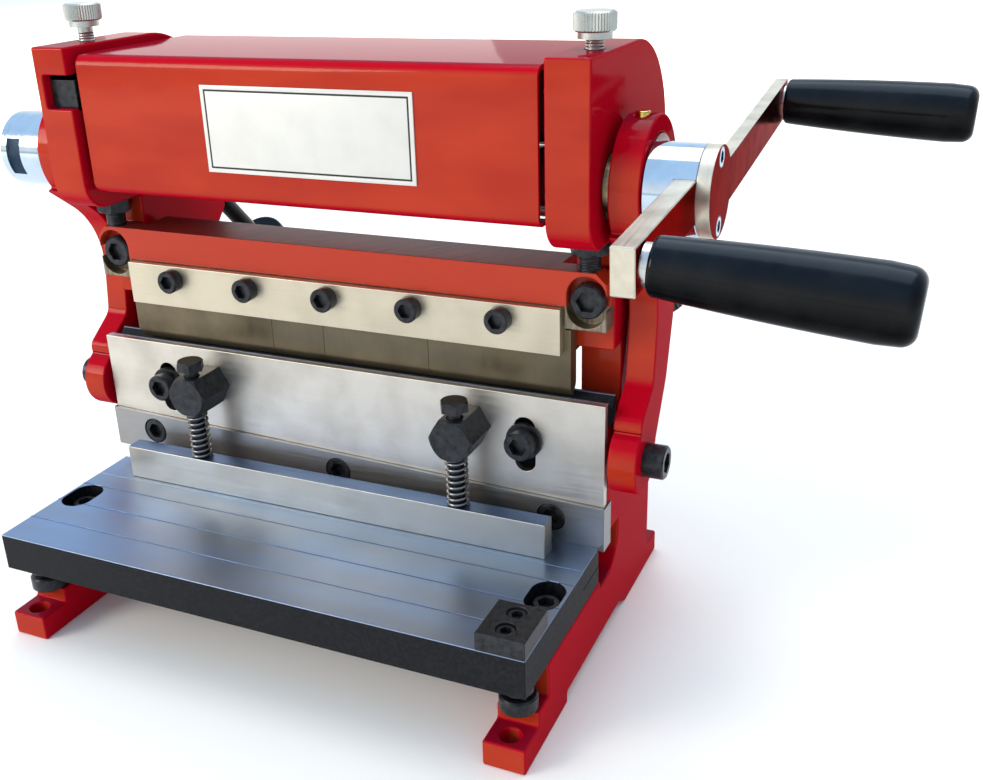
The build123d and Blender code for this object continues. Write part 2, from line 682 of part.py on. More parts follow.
def side_fence_block():
    x = (table_half - FENCE_WIDTH, table_half)
    fence_top = table_top + FENCE_HEIGHT
    fence = block(x, (TABLE_FRONT, TABLE_FRONT + FENCE_DEPTH), (table_top, fence_top))
    for y in fence_screw_places():
        whole = (table_top - CUT_OVERRUN, fence_top + CUT_OVERRUN)
        head = (fence_top - FENCE_SCREW_SINK - M4[2], fence_top + CUT_OVERRUN)
        fence -= rod_z(M4[0] + SLIDE_GAP, fence_middle_x(), y, whole)
        fence -= rod_z(M4[1] + SLIDE_GAP, fence_middle_x(), y, head)
    return fence


def side_fence_screws():
    underside = table_top + FENCE_HEIGHT - FENCE_SCREW_SINK - M4[2]
    screw = socket_screw(M4, underside - table_top + M4[2])
    return [Pos(fence_middle_x(), y, underside) * screw for y in fence_screw_places()]


# Moving beam and what rides on it
def raked_shape(top, bottom, half, y):
    """A plate whose upper and lower edges are given as functions of X."""
    corners = [(-half, bottom(-half)), (half, bottom(half)), (half, top(half)), (-half, top(-half))]
    return front_shape(corners, y)


def moving_beam():
    def nose_bottom(x):
        return plate_bottom(x) - RAM_NOSE_DROP

    def shelf(x):
        return die_bottom

    beam = raked_shape(shelf, plate_bottom, ram_end, (PLATE_THICKNESS, ram_back))
    beam += raked_shape(plate_bottom, nose_bottom, ram_end, (upper_blade_back, ram_back))
    web_y = (PLATE_THICKNESS + DIE_DEPTH, ram_back)
    beam += block((-ram_end, ram_end), web_y, (die_bottom, die_bottom + RAM_WEB_RISE))
    rib_x = frame_inner - 2 * SLIDE_GAP
    beam += block((-rib_x, rib_x), (ram_back, ram_back + RAM_RIB_DEPTH), (rib_low, rib_high))
    for side in (-1, 1):
        bite = sorted((side * (ram_end - ROD_BOLT_BITE - FIT_GAP), side * (ram_end + CUT_OVERRUN)))
        beam -= rod_x(M8_LOW[0] + FIT_GAP, bite, ROD_PIVOT_Y, pivot_z)
        stud_y = (PLATE_THICKNESS - CUT_OVERRUN, POST_STUD_LENGTH + FIT_GAP)
        beam -= rod_y(POST_STUD_RADIUS + FIT_GAP, side * post_x, stud_y, post_z)
        screw_y = (PLATE_THICKNESS - CUT_OVERRUN, plate_screw_end() + FIT_GAP)
        beam -= rod_y(M6[0] + FIT_GAP, side * plate_slot_x, screw_y, plate_screw_z)
    for x in blade_screw_places():
        screw_y = (upper_blade_back - CUT_OVERRUN, blade_screw_end() + FIT_GAP)
        beam -= rod_y(M6[0] + FIT_GAP, x, screw_y, blade_screw_z(x))
    return beam


def plate_screw_end():
    return PLATE_THICKNESS + M6[2] * SCREW_BITE_share


def front_plate():
    def top(x):
        return plate_top

    plate = raked_shape(top, plate_bottom, ram_end, (0, PLATE_THICKNESS))
    cut_y = (-CUT_OVERRUN, PLATE_THICKNESS + CUT_OVERRUN)
    radius = PLATE_SLOT_WIDTH / 2
    for side in (-1, 1):
        x = side * plate_slot_x
        low = plate_slot_low + radius
        high = plate_slot_high - radius
        plate -= block((x - radius, x + radius), cut_y, (low, high))
        plate -= rod_y(radius, x, cut_y, low)
        plate -= rod_y(radius, x, cut_y, high)
        plate -= rod_y(POST_STUD_RADIUS + SLIDE_GAP, side * post_x, cut_y, post_z)
    return plate


def front_plate_screws():
    """Screws with washers, on the slots of the front plate."""
    screw = Rot(90, 0, 0) * socket_screw(M6, plate_screw_end() + PLATE_WASHER_THICKNESS)
    pieces = []
    for side in (-1, 1):
        x = side * plate_slot_x
        washer = rod_y(PLATE_WASHER_RADIUS, x, (-PLATE_WASHER_THICKNESS, 0), plate_screw_z)
        washer -= rod_y(M6[0] + SLIDE_GAP, x, (-PLATE_WASHER_THICKNESS, 0), plate_screw_z)
        pieces += [washer, Pos(x, -PLATE_WASHER_THICKNESS, plate_screw_z) * screw]
    return pieces


def v_die():
    back = PLATE_THICKNESS + DIE_DEPTH
    corners = [
        (PLATE_THICKNESS, die_bottom, 0),
        (back, die_bottom, 0),
        (back, plate_top, 0),
        (die_middle + DIE_GROOVE_DEPTH, plate_top, 0),
        (die_middle, plate_top - DIE_GROOVE_DEPTH, 0),
        (die_middle - DIE_GROOVE_DEPTH, plate_top, 0),
        (PLATE_THICKNESS, plate_top, 0),
    ]
    return side_shape(corners, (-ram_end, ram_end))


def blade_screw_places():
    return (-blade_screw_x, 0, blade_screw_x)


def blade_screw_z(x):
    return plate_bottom(x) - UPPER_BLADE_HEIGHT / 2 + UPPER_BLADE_SCREW_RISE


def blade_screw_end():
    return upper_blade_back + M6[2] * SCREW_BITE_share


def upper_shear_blade():
    def edge(x):
        return plate_bottom(x) - UPPER_BLADE_HEIGHT

    faces_y = (upper_blade_front, upper_blade_back)
    blade = raked_shape(plate_bottom, edge, upper_blade_half, faces_y)
    for x in blade_screw_places():
        whole = (upper_blade_front - CUT_OVERRUN, upper_blade_back + CUT_OVERRUN)
        head = (upper_blade_front - CUT_OVERRUN, upper_blade_front + M6[2] + FIT_GAP)
        blade -= rod_y(M6[0] + SLIDE_GAP, x, whole, blade_screw_z(x))
        blade -= rod_y(M6[1] + SLIDE_GAP, x, head, blade_screw_z(x))
    return blade


def upper_blade_screws():
    head_y = upper_blade_front + M6[2] + FIT_GAP
    screw = Rot(90, 0, 0) * socket_screw(M6, blade_screw_end() - head_y)
    return [Pos(x, head_y, blade_screw_z(x)) * screw for x in blade_screw_places()]


def rod_bolts():
    """Shoulder bolts on which the lower ends of the connecting rods turn."""
    bolt = socket_screw((ROD_PIN_RADIUS, ROD_BOLT_HEAD_RADIUS, ROD_BOLT_HEAD), rod_outer + SLIDE_GAP - ram_end)
    bolt = Pos(rod_outer + SLIDE_GAP, ROD_PIVOT_Y, pivot_z) * Rot(0, 90, 0) * bolt
    bolt += rod_x(M8_LOW[0], (ram_end - ROD_BOLT_BITE, ram_end), ROD_PIVOT_Y, pivot_z)
    return [bolt, mirrored(bolt)]


# Hold-down
def hold_down_posts():
    post = hexagon_head(POST_ACROSS_FLATS, POST_LENGTH)
    post += Pos(0, 0, -POST_STUD_LENGTH / 2) * Cylinder(POST_STUD_RADIUS, POST_STUD_LENGTH)
    post = Pos(post_x, 0, post_z) * Rot(90, 0, 0) * post
    reach = POST_ACROSS_FLATS / 2 + CUT_OVERRUN
    post -= rod_z(POST_HOLE_RADIUS, post_x, HOLD_DOWN_Y, (post_z - reach, post_z + reach))
    return [post, mirrored(post)]


def hold_down_bar():
    half = hold_bar_half
    y = (HOLD_DOWN_Y - HOLD_BAR_DEPTH / 2, HOLD_DOWN_Y + HOLD_BAR_DEPTH / 2)
    bar = block((-half, half), y, (table_top, hold_bar_top))
    for side in (-1, 1):
        thread = (hold_bar_top - HOLD_BOLT_THREAD - FIT_GAP, hold_bar_top + CUT_OVERRUN)
        bar -= rod_z(M6[0] + FIT_GAP, side * post_x, HOLD_DOWN_Y, thread)
    return bar


def hold_down_bolts():
    bolt = hexagon_bolt(M6[0], HOLD_BOLT_ACROSS_FLATS, HOLD_BOLT_HEAD, HOLD_BOLT_GRIP + HOLD_BOLT_THREAD)
    bolt = Pos(post_x, HOLD_DOWN_Y, hold_bar_top + HOLD_BOLT_GRIP) * bolt
    return [bolt, mirrored(bolt)]


def two_arcs(start, start_way, end, end_way):
    """Two arcs that leave one point and reach another along given directions."""
    across = end - start
    ways = start_way + end_way
    linear = across.dot(ways)
    square = 2 * (1 - start_way.dot(end_way))
    length = across.dot(across)
    reach = (-linear + math.sqrt(linear * linear + square * length)) / square
    first = start + start_way * reach
    second = end - end_way * reach
    meeting = (first + second) / 2
    meeting_way = (second - first).normalized()
    return [
        TangentArc(start, meeting, tangent=start_way),
        TangentArc(meeting, end, tangent=meeting_way),
    ]


def spring_path():
    """A helix of quarter turns, with straight ends that stand square on the bar and the post."""
    wire = 2 * SPRING_WIRE_RADIUS
    height = post_bottom - hold_bar_top
    coil_low = wire + SPRING_LEAD_HEIGHT
    coil_height = height - 2 * coil_low
    rise = coil_height / SPRING_TURNS
    slope = rise / (2 * math.pi)

    def helix_point(turn):
        angle = 2 * math.pi * turn
        place = Vector(SPRING_RADIUS * math.cos(angle), SPRING_RADIUS * math.sin(angle), coil_low + rise * turn)
        way = Vector(-SPRING_RADIUS * math.sin(angle), SPRING_RADIUS * math.cos(angle), slope).normalized()
        return place, way

    def lead_point(turn, z):
        angle = 2 * math.pi * turn
        return Vector(SPRING_RADIUS * math.cos(angle), SPRING_RADIUS * math.sin(angle), z)

    up = Vector(0, 0, 1)
    first_turn = -SPRING_LEAD_TURN_share
    last_turn = SPRING_TURNS + SPRING_LEAD_TURN_share
    low_lead = lead_point(first_turn, wire)
    high_lead = lead_point(last_turn, height - wire)
    edges = [Line(lead_point(first_turn, 0), low_lead)]
    edges += two_arcs(low_lead, up, *helix_point(0))
    for quarter in range(4 * SPRING_TURNS):
        start, start_way = helix_point(quarter / 4)
        edges += two_arcs(start, start_way, *helix_point((quarter + 1) / 4))
    edges += two_arcs(*helix_point(SPRING_TURNS), high_lead, up)
    edges.append(Line(high_lead, lead_point(last_turn, height)))
    return Wire([edge for line in edges for edge in line.edges()])


def least_gap(path, wire):
    """Smallest gap between two stretches of the wire that don't follow each other directly."""
    length = path.length
    count = int(length / wire * GAP_STEPS_share)
    places = [path.position_at(step / count) for step in range(count + 1)]
    skip = int(math.pi * SPRING_RADIUS / length * count)
    least = length
    for index, place in enumerate(places):
        for other in places[index + skip:]:
            least = min(least, (place - other).length)
    return least - wire


def hold_down_spring():
    path = spring_path()
    section = Plane(origin=path.position_at(0), z_dir=(0, 0, 1)) * Circle(SPRING_WIRE_RADIUS)
    spring = sweep(section, path=path)
    print("least gap between the spring's turns", round(least_gap(path, 2 * SPRING_WIRE_RADIUS), 3))
    return Pos(post_x, HOLD_DOWN_Y, hold_bar_top) * spring


# Upper beam and punch fingers
def upper_beam():
    half = beam_half
    inner = frame_inner - SLIDE_GAP
    beam = block((-half, half), (BEAM_FRONT, PAD_FRONT), (ear_bottom, beam_top))
    beam += block((-inner, inner), (BEAM_FRONT, BEAM_BACK), (beam_bottom, beam_top))
    ends = beam.edges().filter_by(Axis.Y).group_by(Axis.Z)[-1]
    beam = chamfer(ends, BEAM_END_CHAMFER)
    front = BEAM_FRONT - CUT_OVERRUN
    beam -= block((-inner, inner), (front, CLAMP_SEAT), (beam_bottom, lip_bottom))
    finger_half = finger_set_half + SLIDE_GAP
    finger_y = (front, finger_front + FINGER_THICKNESS)
    beam -= block((-finger_half, finger_half), finger_y, (beam_bottom - CUT_OVERRUN, finger_top))
    for side in (-1, 1):
        x = side * frame_middle
        whole = (front, PAD_FRONT + CUT_OVERRUN)
        head = (front, BEAM_FRONT + BEAM_POCKET_DEPTH)
        beam -= long_hole_y(x, BEAM_POCKET_RADIUS, head)
        beam -= long_hole_y(x, M8_LOW[0] + SLIDE_GAP, whole)
    for x in clamp_screw_places():
        beam -= rod_y(M5[0] + FIT_GAP, x, (front, clamp_screw_end() + FIT_GAP), clamp_screw_z)
    return beam


def long_hole_y(x, radius, y):
    """A hole lengthened along Z for the upper beam's height setting."""
    reach = BEAM_SLOT_TRAVEL / 2
    ends = [rod_y(radius, x, y, beam_screw_z + side * reach) for side in (-1, 1)]
    middle = block((x - radius, x + radius), y, (beam_screw_z - reach, beam_screw_z + reach))
    return middle + ends[0] + ends[1]


def upper_beam_screws():
    floor = BEAM_FRONT + BEAM_POCKET_DEPTH
    screw = Rot(90, 0, 0) * socket_screw(M8_LOW, BEAM_SCREW_DEPTH)
    return [Pos(side * frame_middle, floor, beam_screw_z) * screw for side in (-1, 1)]


def beam_jacks():
    """Studs from the frame's head down to the upper beam, each with a nut under the head."""
    stud_z = (beam_top, head_underside + BEAM_JACK_BITE)
    stud = rod_z(M8_LOW[0], frame_middle, BEAM_JACK_Y, stud_z)
    nut = Pos(frame_middle, BEAM_JACK_Y, head_underside) * Rot(180, 0, 0)
    nut = nut * hexagon_head(BEAM_NUT_ACROSS_FLATS, BEAM_NUT_HEIGHT)
    nut -= rod_z(M8_LOW[0] + FIT_GAP, frame_middle, BEAM_JACK_Y, stud_z)
    return [stud, nut, mirrored(stud), mirrored(nut)]


def clamp_screw_places():
    first = -CLAMP_SCREW_PITCH * (CLAMP_SCREW_COUNT - 1) / 2
    return [first + CLAMP_SCREW_PITCH * step for step in range(CLAMP_SCREW_COUNT)]


def clamp_screw_end():
    return CLAMP_SEAT + M5[2] * CLAMP_SCREW_BITE_share


def finger_clamp_bar():
    half = clamp_half
    y = (CLAMP_SEAT - CLAMP_THICKNESS, CLAMP_SEAT)
    bar = block((-half, half), y, (clamp_bottom, clamp_bottom + CLAMP_HEIGHT))
    for x in clamp_screw_places():
        through = (y[0] - CUT_OVERRUN, y[1] + CUT_OVERRUN)
        bar -= rod_y(M5[0] + SLIDE_GAP, x, through, clamp_screw_z)
    return bar


def finger_clamp_screws():
    front = CLAMP_SEAT - CLAMP_THICKNESS
    screw = Rot(90, 0, 0) * socket_screw(M5, clamp_screw_end() - front)
    return [Pos(x, front, clamp_screw_z) * screw for x in clamp_screw_places()]


def punch_finger(x):
    back = finger_front + FINGER_THICKNESS
    bevel_top = finger_tip + FINGER_BEVEL_HEIGHT
    flat = FINGER_TIP_FLAT / 2
    corners = [
        (finger_front, finger_top, 0),
        (finger_front, bevel_top, 0),
        (die_middle - flat, finger_tip, 0),
        (die_middle + flat, finger_tip, 0),
        (back, bevel_top, 0),
        (back, finger_top, 0),
    ]
    return side_shape(corners, x)


def punch_fingers():
    divisions = [share * finger_set_half for share in (-1,) + FINGER_DIVISION_shares + (1,)]
    fingers = []
    for low, high in zip(divisions, divisions[1:]):
        fingers.append(punch_finger((low + FINGER_GAP / 2, high - FINGER_GAP / 2)))
    return fingers


# Shaft, eccentrics and hubs
def drive_shaft():
    shaft = rod_x(SHAFT_RADIUS, (-slot_inner, slot_inner), SHAFT_Y, shaft_z)
    return shaft + rod_x(ROLL_RADIUS, (-roll_end, roll_end), SHAFT_Y, shaft_z)


def shaft_bushes():
    bush = rod_x(BUSH_RADIUS, (frame_inner, frame_outer), SHAFT_Y, shaft_z)
    bush += rod_x(BUSH_FLANGE_RADIUS, (frame_inner - BUSH_FLANGE, frame_inner), SHAFT_Y, shaft_z)
    bore_x = (frame_inner - BUSH_FLANGE - CUT_OVERRUN, frame_outer + CUT_OVERRUN)
    bush -= rod_x(SHAFT_RADIUS + FIT_GAP, bore_x, SHAFT_Y, shaft_z)
    return [bush, mirrored(bush)]


def eccentrics():
    x = (rod_inner, hub_inner)
    disc = rod_x(ECCENTRIC_RADIUS - FIT_GAP, x, ring_y, shaft_z)
    disc -= rod_x(SHAFT_RADIUS, x, SHAFT_Y, shaft_z)
    return [disc, mirrored(disc)]


def turned_about_shaft(piece, angle):
    """Turn a piece that points along Y at the shaft to an angle above the rear."""
    return Pos(0, SHAFT_Y, shaft_z) * Rot(angle, 0, 0) * piece


def hub():
    """Right-hand hub with the slot that takes the front arm."""
    piece = rod_x(HUB_RADIUS, (hub_inner, hub_outer), SHAFT_Y, shaft_z)
    piece = chamfer(piece.edges().filter_by(GeomType.CIRCLE), HUB_CHAMFER)
    piece -= rod_x(SHAFT_RADIUS, (hub_inner - CUT_OVERRUN, slot_inner), SHAFT_Y, shaft_z)
    half = ARM_WIDTH / 2 + FIT_GAP
    reach = HUB_RADIUS + CUT_OVERRUN
    slot = block((slot_inner, hub_outer + CUT_OVERRUN), (-reach, reach), (-half, half))
    piece -= turned_about_shaft(slot, FRONT_ARM_ANGLE)
    for z in lever_screw_places():
        bite = (hub_outer - LEVER_SCREW_DEPTH - FIT_GAP, hub_outer + CUT_OVERRUN)
        piece -= rod_x(M4[0] + FIT_GAP, bite, SHAFT_Y, z)
    return piece


def lever_screw_places():
    return (shaft_z - LEVER_SCREW_OFFSET, shaft_z + LEVER_SCREW_OFFSET)


def screw_seats(piece, thickness, head_height):
    """Cut the two flush screw seats of a plate that is screwed to the hub's face."""
    outer = hub_outer + thickness
    for z in lever_screw_places():
        piece -= rod_x(M4[0] + SLIDE_GAP, (hub_outer - CUT_OVERRUN, outer + CUT_OVERRUN), SHAFT_Y, z)
        piece -= rod_x(M4[1] + SLIDE_GAP, (outer - head_height, outer + CUT_OVERRUN), SHAFT_Y, z)
    return piece


def hub_cap():
    cap = rod_x(CAP_RADIUS, (hub_outer, hub_outer + CAP_THICKNESS), SHAFT_Y, shaft_z)
    return mirrored(screw_seats(cap, CAP_THICKNESS, lever_head(CAP_THICKNESS)))


def lever_head(thickness):
    return thickness * LEVER_HEAD_share


def lever_screws():
    """Flush screws that hold the rear arm on the right hub and the cap on the left hub."""
    pieces = []
    for thickness, side in ((REAR_ARM_THICKNESS, 1), (CAP_THICKNESS, -1)):
        head = lever_head(thickness)
        length = LEVER_SCREW_DEPTH + thickness - head
        screw = Rot(0, 90, 0) * socket_screw((M4[0], M4[1], head), length)
        for z in lever_screw_places():
            placed = Pos(hub_outer + thickness - head, SHAFT_Y, z) * screw
            pieces.append(placed if side > 0 else mirrored(placed))
    return pieces


def grip_axis(reach, angle, x, droop):
    """Place and direction of a grip: out from an arm, with its end drooping."""
    lean = math.radians(angle)
    y = SHAFT_Y + reach * math.cos(lean)
    z = shaft_z + reach * math.sin(lean)
    return Pos(x, y, z) * Rot(0, 90 + droop, 0)


def front_grip_place():
    return grip_axis(front_grip_reach, FRONT_ARM_ANGLE, hub_outer, FRONT_GRIP_DROOP)


def rear_grip_place():
    outer = hub_outer + REAR_ARM_THICKNESS
    return grip_axis(rear_grip_reach, REAR_ARM_ANGLE, outer, REAR_GRIP_DROOP)


def spindle_hole(place, thickness):
    length = thickness + 2 * CUT_OVERRUN
    return place * Pos(0, 0, -thickness / 2) * Cylinder(SPINDLE_RADIUS + FIT_GAP, length)


def crank_arm_front():
    half = ARM_WIDTH / 2
    arm = block((slot_inner, hub_outer), (-FRONT_ARM_ROOT, FRONT_ARM_REACH), (-half, half))
    arm = chamfer(arm.edges(), EDGE_RADIUS / 2)
    arm = turned_about_shaft(arm, FRONT_ARM_ANGLE)
    return arm - spindle_hole(front_grip_place(), FRONT_ARM_THICKNESS)


def crank_arm_rear():
    x = (hub_outer, hub_outer + REAR_ARM_THICKNESS)
    half = ARM_WIDTH / 2
    bar = block(x, (0, REAR_ARM_REACH), (-half, half))
    arm = turned_about_shaft(bar, REAR_ARM_ANGLE) + rod_x(CAP_RADIUS, x, SHAFT_Y, shaft_z)
    arm = screw_seats(arm, REAR_ARM_THICKNESS, lever_head(REAR_ARM_THICKNESS))
    return arm - spindle_hole(rear_grip_place(), REAR_ARM_THICKNESS)


def grip_spindle(place, collar, arm_x):
    """Spindle from the arm's inner face to inside the grip, with a collar that meets the arm."""
    middle = place.position
    y = (middle.Y - ARM_WIDTH, middle.Y + ARM_WIDTH)
    z = (middle.Z - ARM_WIDTH, middle.Z + ARM_WIDTH)
    end = collar + GRIP_LENGTH * GRIP_BORE_share - SLIDE_GAP
    pin = place * Pos(0, 0, (end - ARM_WIDTH) / 2) * Cylinder(SPINDLE_RADIUS, end + ARM_WIDTH)
    pin -= block((arm_x[0] - 2 * ARM_WIDTH, arm_x[0]), y, z)
    ring = place * Pos(0, 0, collar / 2) * Cylinder(SPINDLE_COLLAR_RADIUS, collar)
    return pin + (ring - block(arm_x, y, z))


def grip_spindles():
    front_x = (slot_inner, hub_outer)
    rear_x = (hub_outer, hub_outer + REAR_ARM_THICKNESS)
    front = grip_spindle(front_grip_place(), FRONT_COLLAR, front_x)
    return [front, grip_spindle(rear_grip_place(), REAR_COLLAR, rear_x)]


def grip(collar):
    """Barrel grip on Z, widest near its closed outer end."""
    low = collar + SLIDE_GAP
    high = low + GRIP_LENGTH
    widest = low + GRIP_LENGTH * GRIP_WIDEST_share
    neck = Line((0, low), (GRIP_NECK_RADIUS - GRIP_NECK_ROUND, low))
    neck_arc = TangentArc(neck @ 1, (GRIP_NECK_RADIUS, low + GRIP_NECK_ROUND), tangent=(1, 0))
    belly_middle = (GRIP_NECK_RADIUS + 2 * GRIP_END_RADIUS) / 3
    belly = ThreePointArc(neck_arc @ 1, (belly_middle, (low + widest) / 2), (GRIP_END_RADIUS, widest))
    tip = high - GRIP_END_ROUND
    taper = Line(belly @ 1, (GRIP_END_RADIUS - GRIP_END_TAPER, tip))
    end_reach = GRIP_END_RADIUS - GRIP_END_ROUND
    end_arc = TangentArc(taper @ 1, (end_reach, high), tangent=taper % 1)
    profile = neck + neck_arc + belly + taper + end_arc
    profile += Line(end_arc @ 1, (0, high)) + Line((0, high), (0, low))
    barrel = revolve(Plane.XZ * make_face(profile), Axis.Z)
    bore_end = collar + GRIP_LENGTH * GRIP_BORE_share
    bore = Pos(0, 0, bore_end / 2) * Cylinder(SPINDLE_RADIUS + FIT_GAP, bore_end)
    return barrel - bore


# Connecting rods
def rod_corners(shares, radius_shares):
    corners = []
    for (across, down), radius in zip(shares, radius_shares):
        place = (ring_y + across * rod_length, shaft_z - down * rod_length)
        corners.append((*place, radius * rod_length))
    return corners


def con_rod():
    x = (rod_inner, rod_outer)
    corners = rod_corners(ROD_FRONT_shares, ROD_FRONT_RADIUS_shares)
    corners += rod_corners(ROD_REAR_shares, ROD_REAR_RADIUS_shares)
    rod = side_shape(corners, x)
    rod += rod_x(ROD_RING_RADIUS, x, ring_y, shaft_z)
    rod += rod_x(ROD_BOSS_RADIUS, x, ROD_PIVOT_Y, pivot_z)
    wide = (rod_inner - CUT_OVERRUN, rod_outer + CUT_OVERRUN)
    rod -= rod_x(ECCENTRIC_RADIUS, wide, ring_y, shaft_z)
    eye_y = ROD_PIVOT_Y + ROD_EYE_OFFSET
    rod -= rod_x(ROD_PIN_RADIUS + ROD_EYE_PLAY, wide, eye_y, pivot_z)
    oiler_z = shaft_z + ROD_RING_RADIUS
    rod -= rod_z(OILER_RADIUS, oiler_x(), oiler_y(), (oiler_z - OILER_DEPTH, oiler_z + CUT_OVERRUN))
    return rod


def oiler_x():
    return rod_inner + ROD_THICKNESS / 2


def oiler_y():
    return ring_y + OILER_LEAN


def rod_oiler():
    """Ball oiler on top of the rod's ring."""
    seat = shaft_z + ROD_RING_RADIUS
    body = rod_z(OILER_RADIUS - FIT_GAP, oiler_x(), oiler_y(), (seat - OILER_DEPTH, seat + OILER_RISE))
    rim = body.edges().filter_by(GeomType.CIRCLE).sort_by(Axis.Z)[-1]
    return fillet(rim, OILER_RISE / 2)


# Upper roll
def upper_roll():
    journal = frame_inner + UPPER_POCKET_DEPTH - JOURNAL_END_GAP
    roll = rod_x(UPPER_JOURNAL_RADIUS, (-journal, journal), SHAFT_Y, upper_roll_z)
    return roll + rod_x(ROLL_RADIUS, (-roll_end, roll_end), SHAFT_Y, upper_roll_z)


def upper_block(front):
    x = (frame_inner + SLIDE_GAP, frame_inner + UPPER_POCKET_DEPTH - SLIDE_GAP)
    rear = SHAFT_Y + UPPER_POCKET_LENGTH / 2 - SLIDE_GAP
    low = upper_roll_z - UPPER_BLOCK_LOW
    piece = block(x, (front, rear), (low, low + UPPER_BLOCK_HEIGHT))
    bore_x = (frame_inner, frame_inner + UPPER_POCKET_DEPTH)
    return piece - rod_x(UPPER_JOURNAL_RADIUS + FIT_GAP, bore_x, SHAFT_Y, upper_roll_z)


def upper_bearing_blocks():
    right = upper_block(SHAFT_Y - UPPER_POCKET_LENGTH / 2 + SLIDE_GAP)
    left = mirrored(upper_block(HEAD_FRONT + UPPER_BLOCK_RECESS))
    return [left, right]


def thumb_screw(rise):
    """Knurled screw that presses a bearing block down from the top of the frame's head."""
    block_top = upper_roll_z - UPPER_BLOCK_LOW + UPPER_BLOCK_HEIGHT
    collar_low = block_top + THUMB_STEM_LENGTH
    screw = rod_z(M6[0], 0, 0, (block_top, collar_low))
    collar_high = collar_low + THUMB_COLLAR_HEIGHT
    screw += rod_z(THUMB_COLLAR_RADIUS, 0, 0, (collar_low, collar_high))
    screw += Pos(0, 0, collar_high) * knurled_knob(THUMB_KNOB_RADIUS, THUMB_KNOB_HEIGHT)
    return Pos(thumb_x, SHAFT_Y, rise) * screw


# Rear roll
def rear_roll():
    journal = frame_inner + REAR_BLOCK_THICKNESS - JOURNAL_END_GAP
    roll = rod_x(REAR_JOURNAL_RADIUS, (-journal, journal), REAR_ROLL_Y, rear_roll_z)
    return roll + rod_x(ROLL_RADIUS, (-roll_end, roll_end), REAR_ROLL_Y, rear_roll_z)


def rear_bearing_blocks():
    half = REAR_BLOCK_SIZE / 2
    x = (frame_inner + SLIDE_GAP, frame_inner + REAR_BLOCK_THICKNESS)
    piece = along_diagonal(block(x, (-half, half), (-half, half)))
    bore_x = (frame_inner, frame_inner + REAR_BLOCK_THICKNESS + CUT_OVERRUN)
    piece -= rod_x(REAR_JOURNAL_RADIUS + FIT_GAP, bore_x, REAR_ROLL_Y, rear_roll_z)
    return [mirrored(piece), piece]


def rear_knob():
    screw_x = frame_inner + REAR_BLOCK_THICKNESS / 2
    screw = rod_z(M8_LOW[0], 0, 0, (REAR_BLOCK_SIZE / 2, REAR_SCREW_REACH))
    screw += Pos(0, 0, REAR_SCREW_REACH) * knurled_knob(REAR_KNOB_RADIUS, REAR_KNOB_LENGTH)
    return along_diagonal(Pos(screw_x, 0, 0) * screw)


# Cover, label and tie bar
def roll_cover():
    sheet = COVER_SHEET
    inner_bend = COVER_BEND - sheet
    return_end = COVER_FRONT + COVER_RETURN
    flange_end = cover_top - COVER_REAR_FLANGE
    corners = [
        (return_end, cover_bottom, 0),
        (COVER_FRONT, cover_bottom, COVER_BEND),
        (COVER_FRONT, cover_top, COVER_BEND),
        (COVER_REAR, cover_top, COVER_BEND),
        (COVER_REAR, flange_end, 0),
        (COVER_REAR - sheet, flange_end, 0),
        (COVER_REAR - sheet, cover_top - sheet, inner_bend),
        (COVER_FRONT + sheet, cover_top - sheet, inner_bend),
        (COVER_FRONT + sheet, cover_bottom + sheet, inner_bend),
        (return_end, cover_bottom + sheet, 0),
    ]
    cover = side_shape(corners, (-cover_half, cover_half))
    for x in cover_screw_places():
        wall = (COVER_REAR - sheet - CUT_OVERRUN, COVER_REAR + CUT_OVERRUN)
        cover -= rod_y(M4[0] + SLIDE_GAP, x, wall, cover_top - COVER_SCREW_DROP)
    return cover


def cover_rail():
    """Square bar between the frames that the cover is screwed to, with a spigot at each end."""
    y = (rail_rear - RAIL_SIZE, rail_rear)
    rail = block((-frame_inner, frame_inner), y, (rail_top - RAIL_SIZE, rail_top))
    rail = chamfer(rail.edges().filter_by(Axis.X), COVER_BEND - COVER_SHEET)
    spigot = frame_inner + RAIL_SPIGOT_LENGTH
    middle = (rail_rear - RAIL_SIZE / 2, rail_top - RAIL_SIZE / 2)
    rail += rod_x(RAIL_SPIGOT_RADIUS, (-spigot, spigot), *middle)
    for x in cover_screw_places():
        bite = (rail_rear - cover_screw_bite() - FIT_GAP, rail_rear + CUT_OVERRUN)
        rail -= rod_y(M4[0] + FIT_GAP, x, bite, cover_top - COVER_SCREW_DROP)
    return rail


def cover_screw_places():
    return [share * cover_half for share in COVER_SCREW_shares]


def cover_screw_bite():
    return RAIL_SIZE / 2


def cover_screws():
    screw = Rot(-90, 0, 0) * socket_screw(M4, COVER_SHEET + cover_screw_bite())
    return [Pos(x, COVER_REAR, cover_top - COVER_SCREW_DROP) * screw for x in cover_screw_places()]


def label_plate():
    x = (LABEL_SHIFT - LABEL_WIDTH / 2, LABEL_SHIFT + LABEL_WIDTH / 2)
    y = (COVER_FRONT - LABEL_THICKNESS, COVER_FRONT)
    return block(x, y, (label_bottom, label_bottom + LABEL_HEIGHT))


def rear_tie_bar():
    y = (tie_bar_rear - TIE_BAR_THICKNESS, tie_bar_rear)
    z = (tie_bar_bottom, tie_bar_bottom + TIE_BAR_HEIGHT)
    bar = block((-frame_inner, frame_inner), y, z)
    for side in (-1, 1):
        bite = sorted((side * (frame_inner - TIE_BOLT_BITE - FIT_GAP), side * (frame_inner + CUT_OVERRUN)))
        bar -= rod_x(M8_LOW[0] + FIT_GAP, bite, tie_bar_middle_y, tie_bar_middle_z)
    return bar


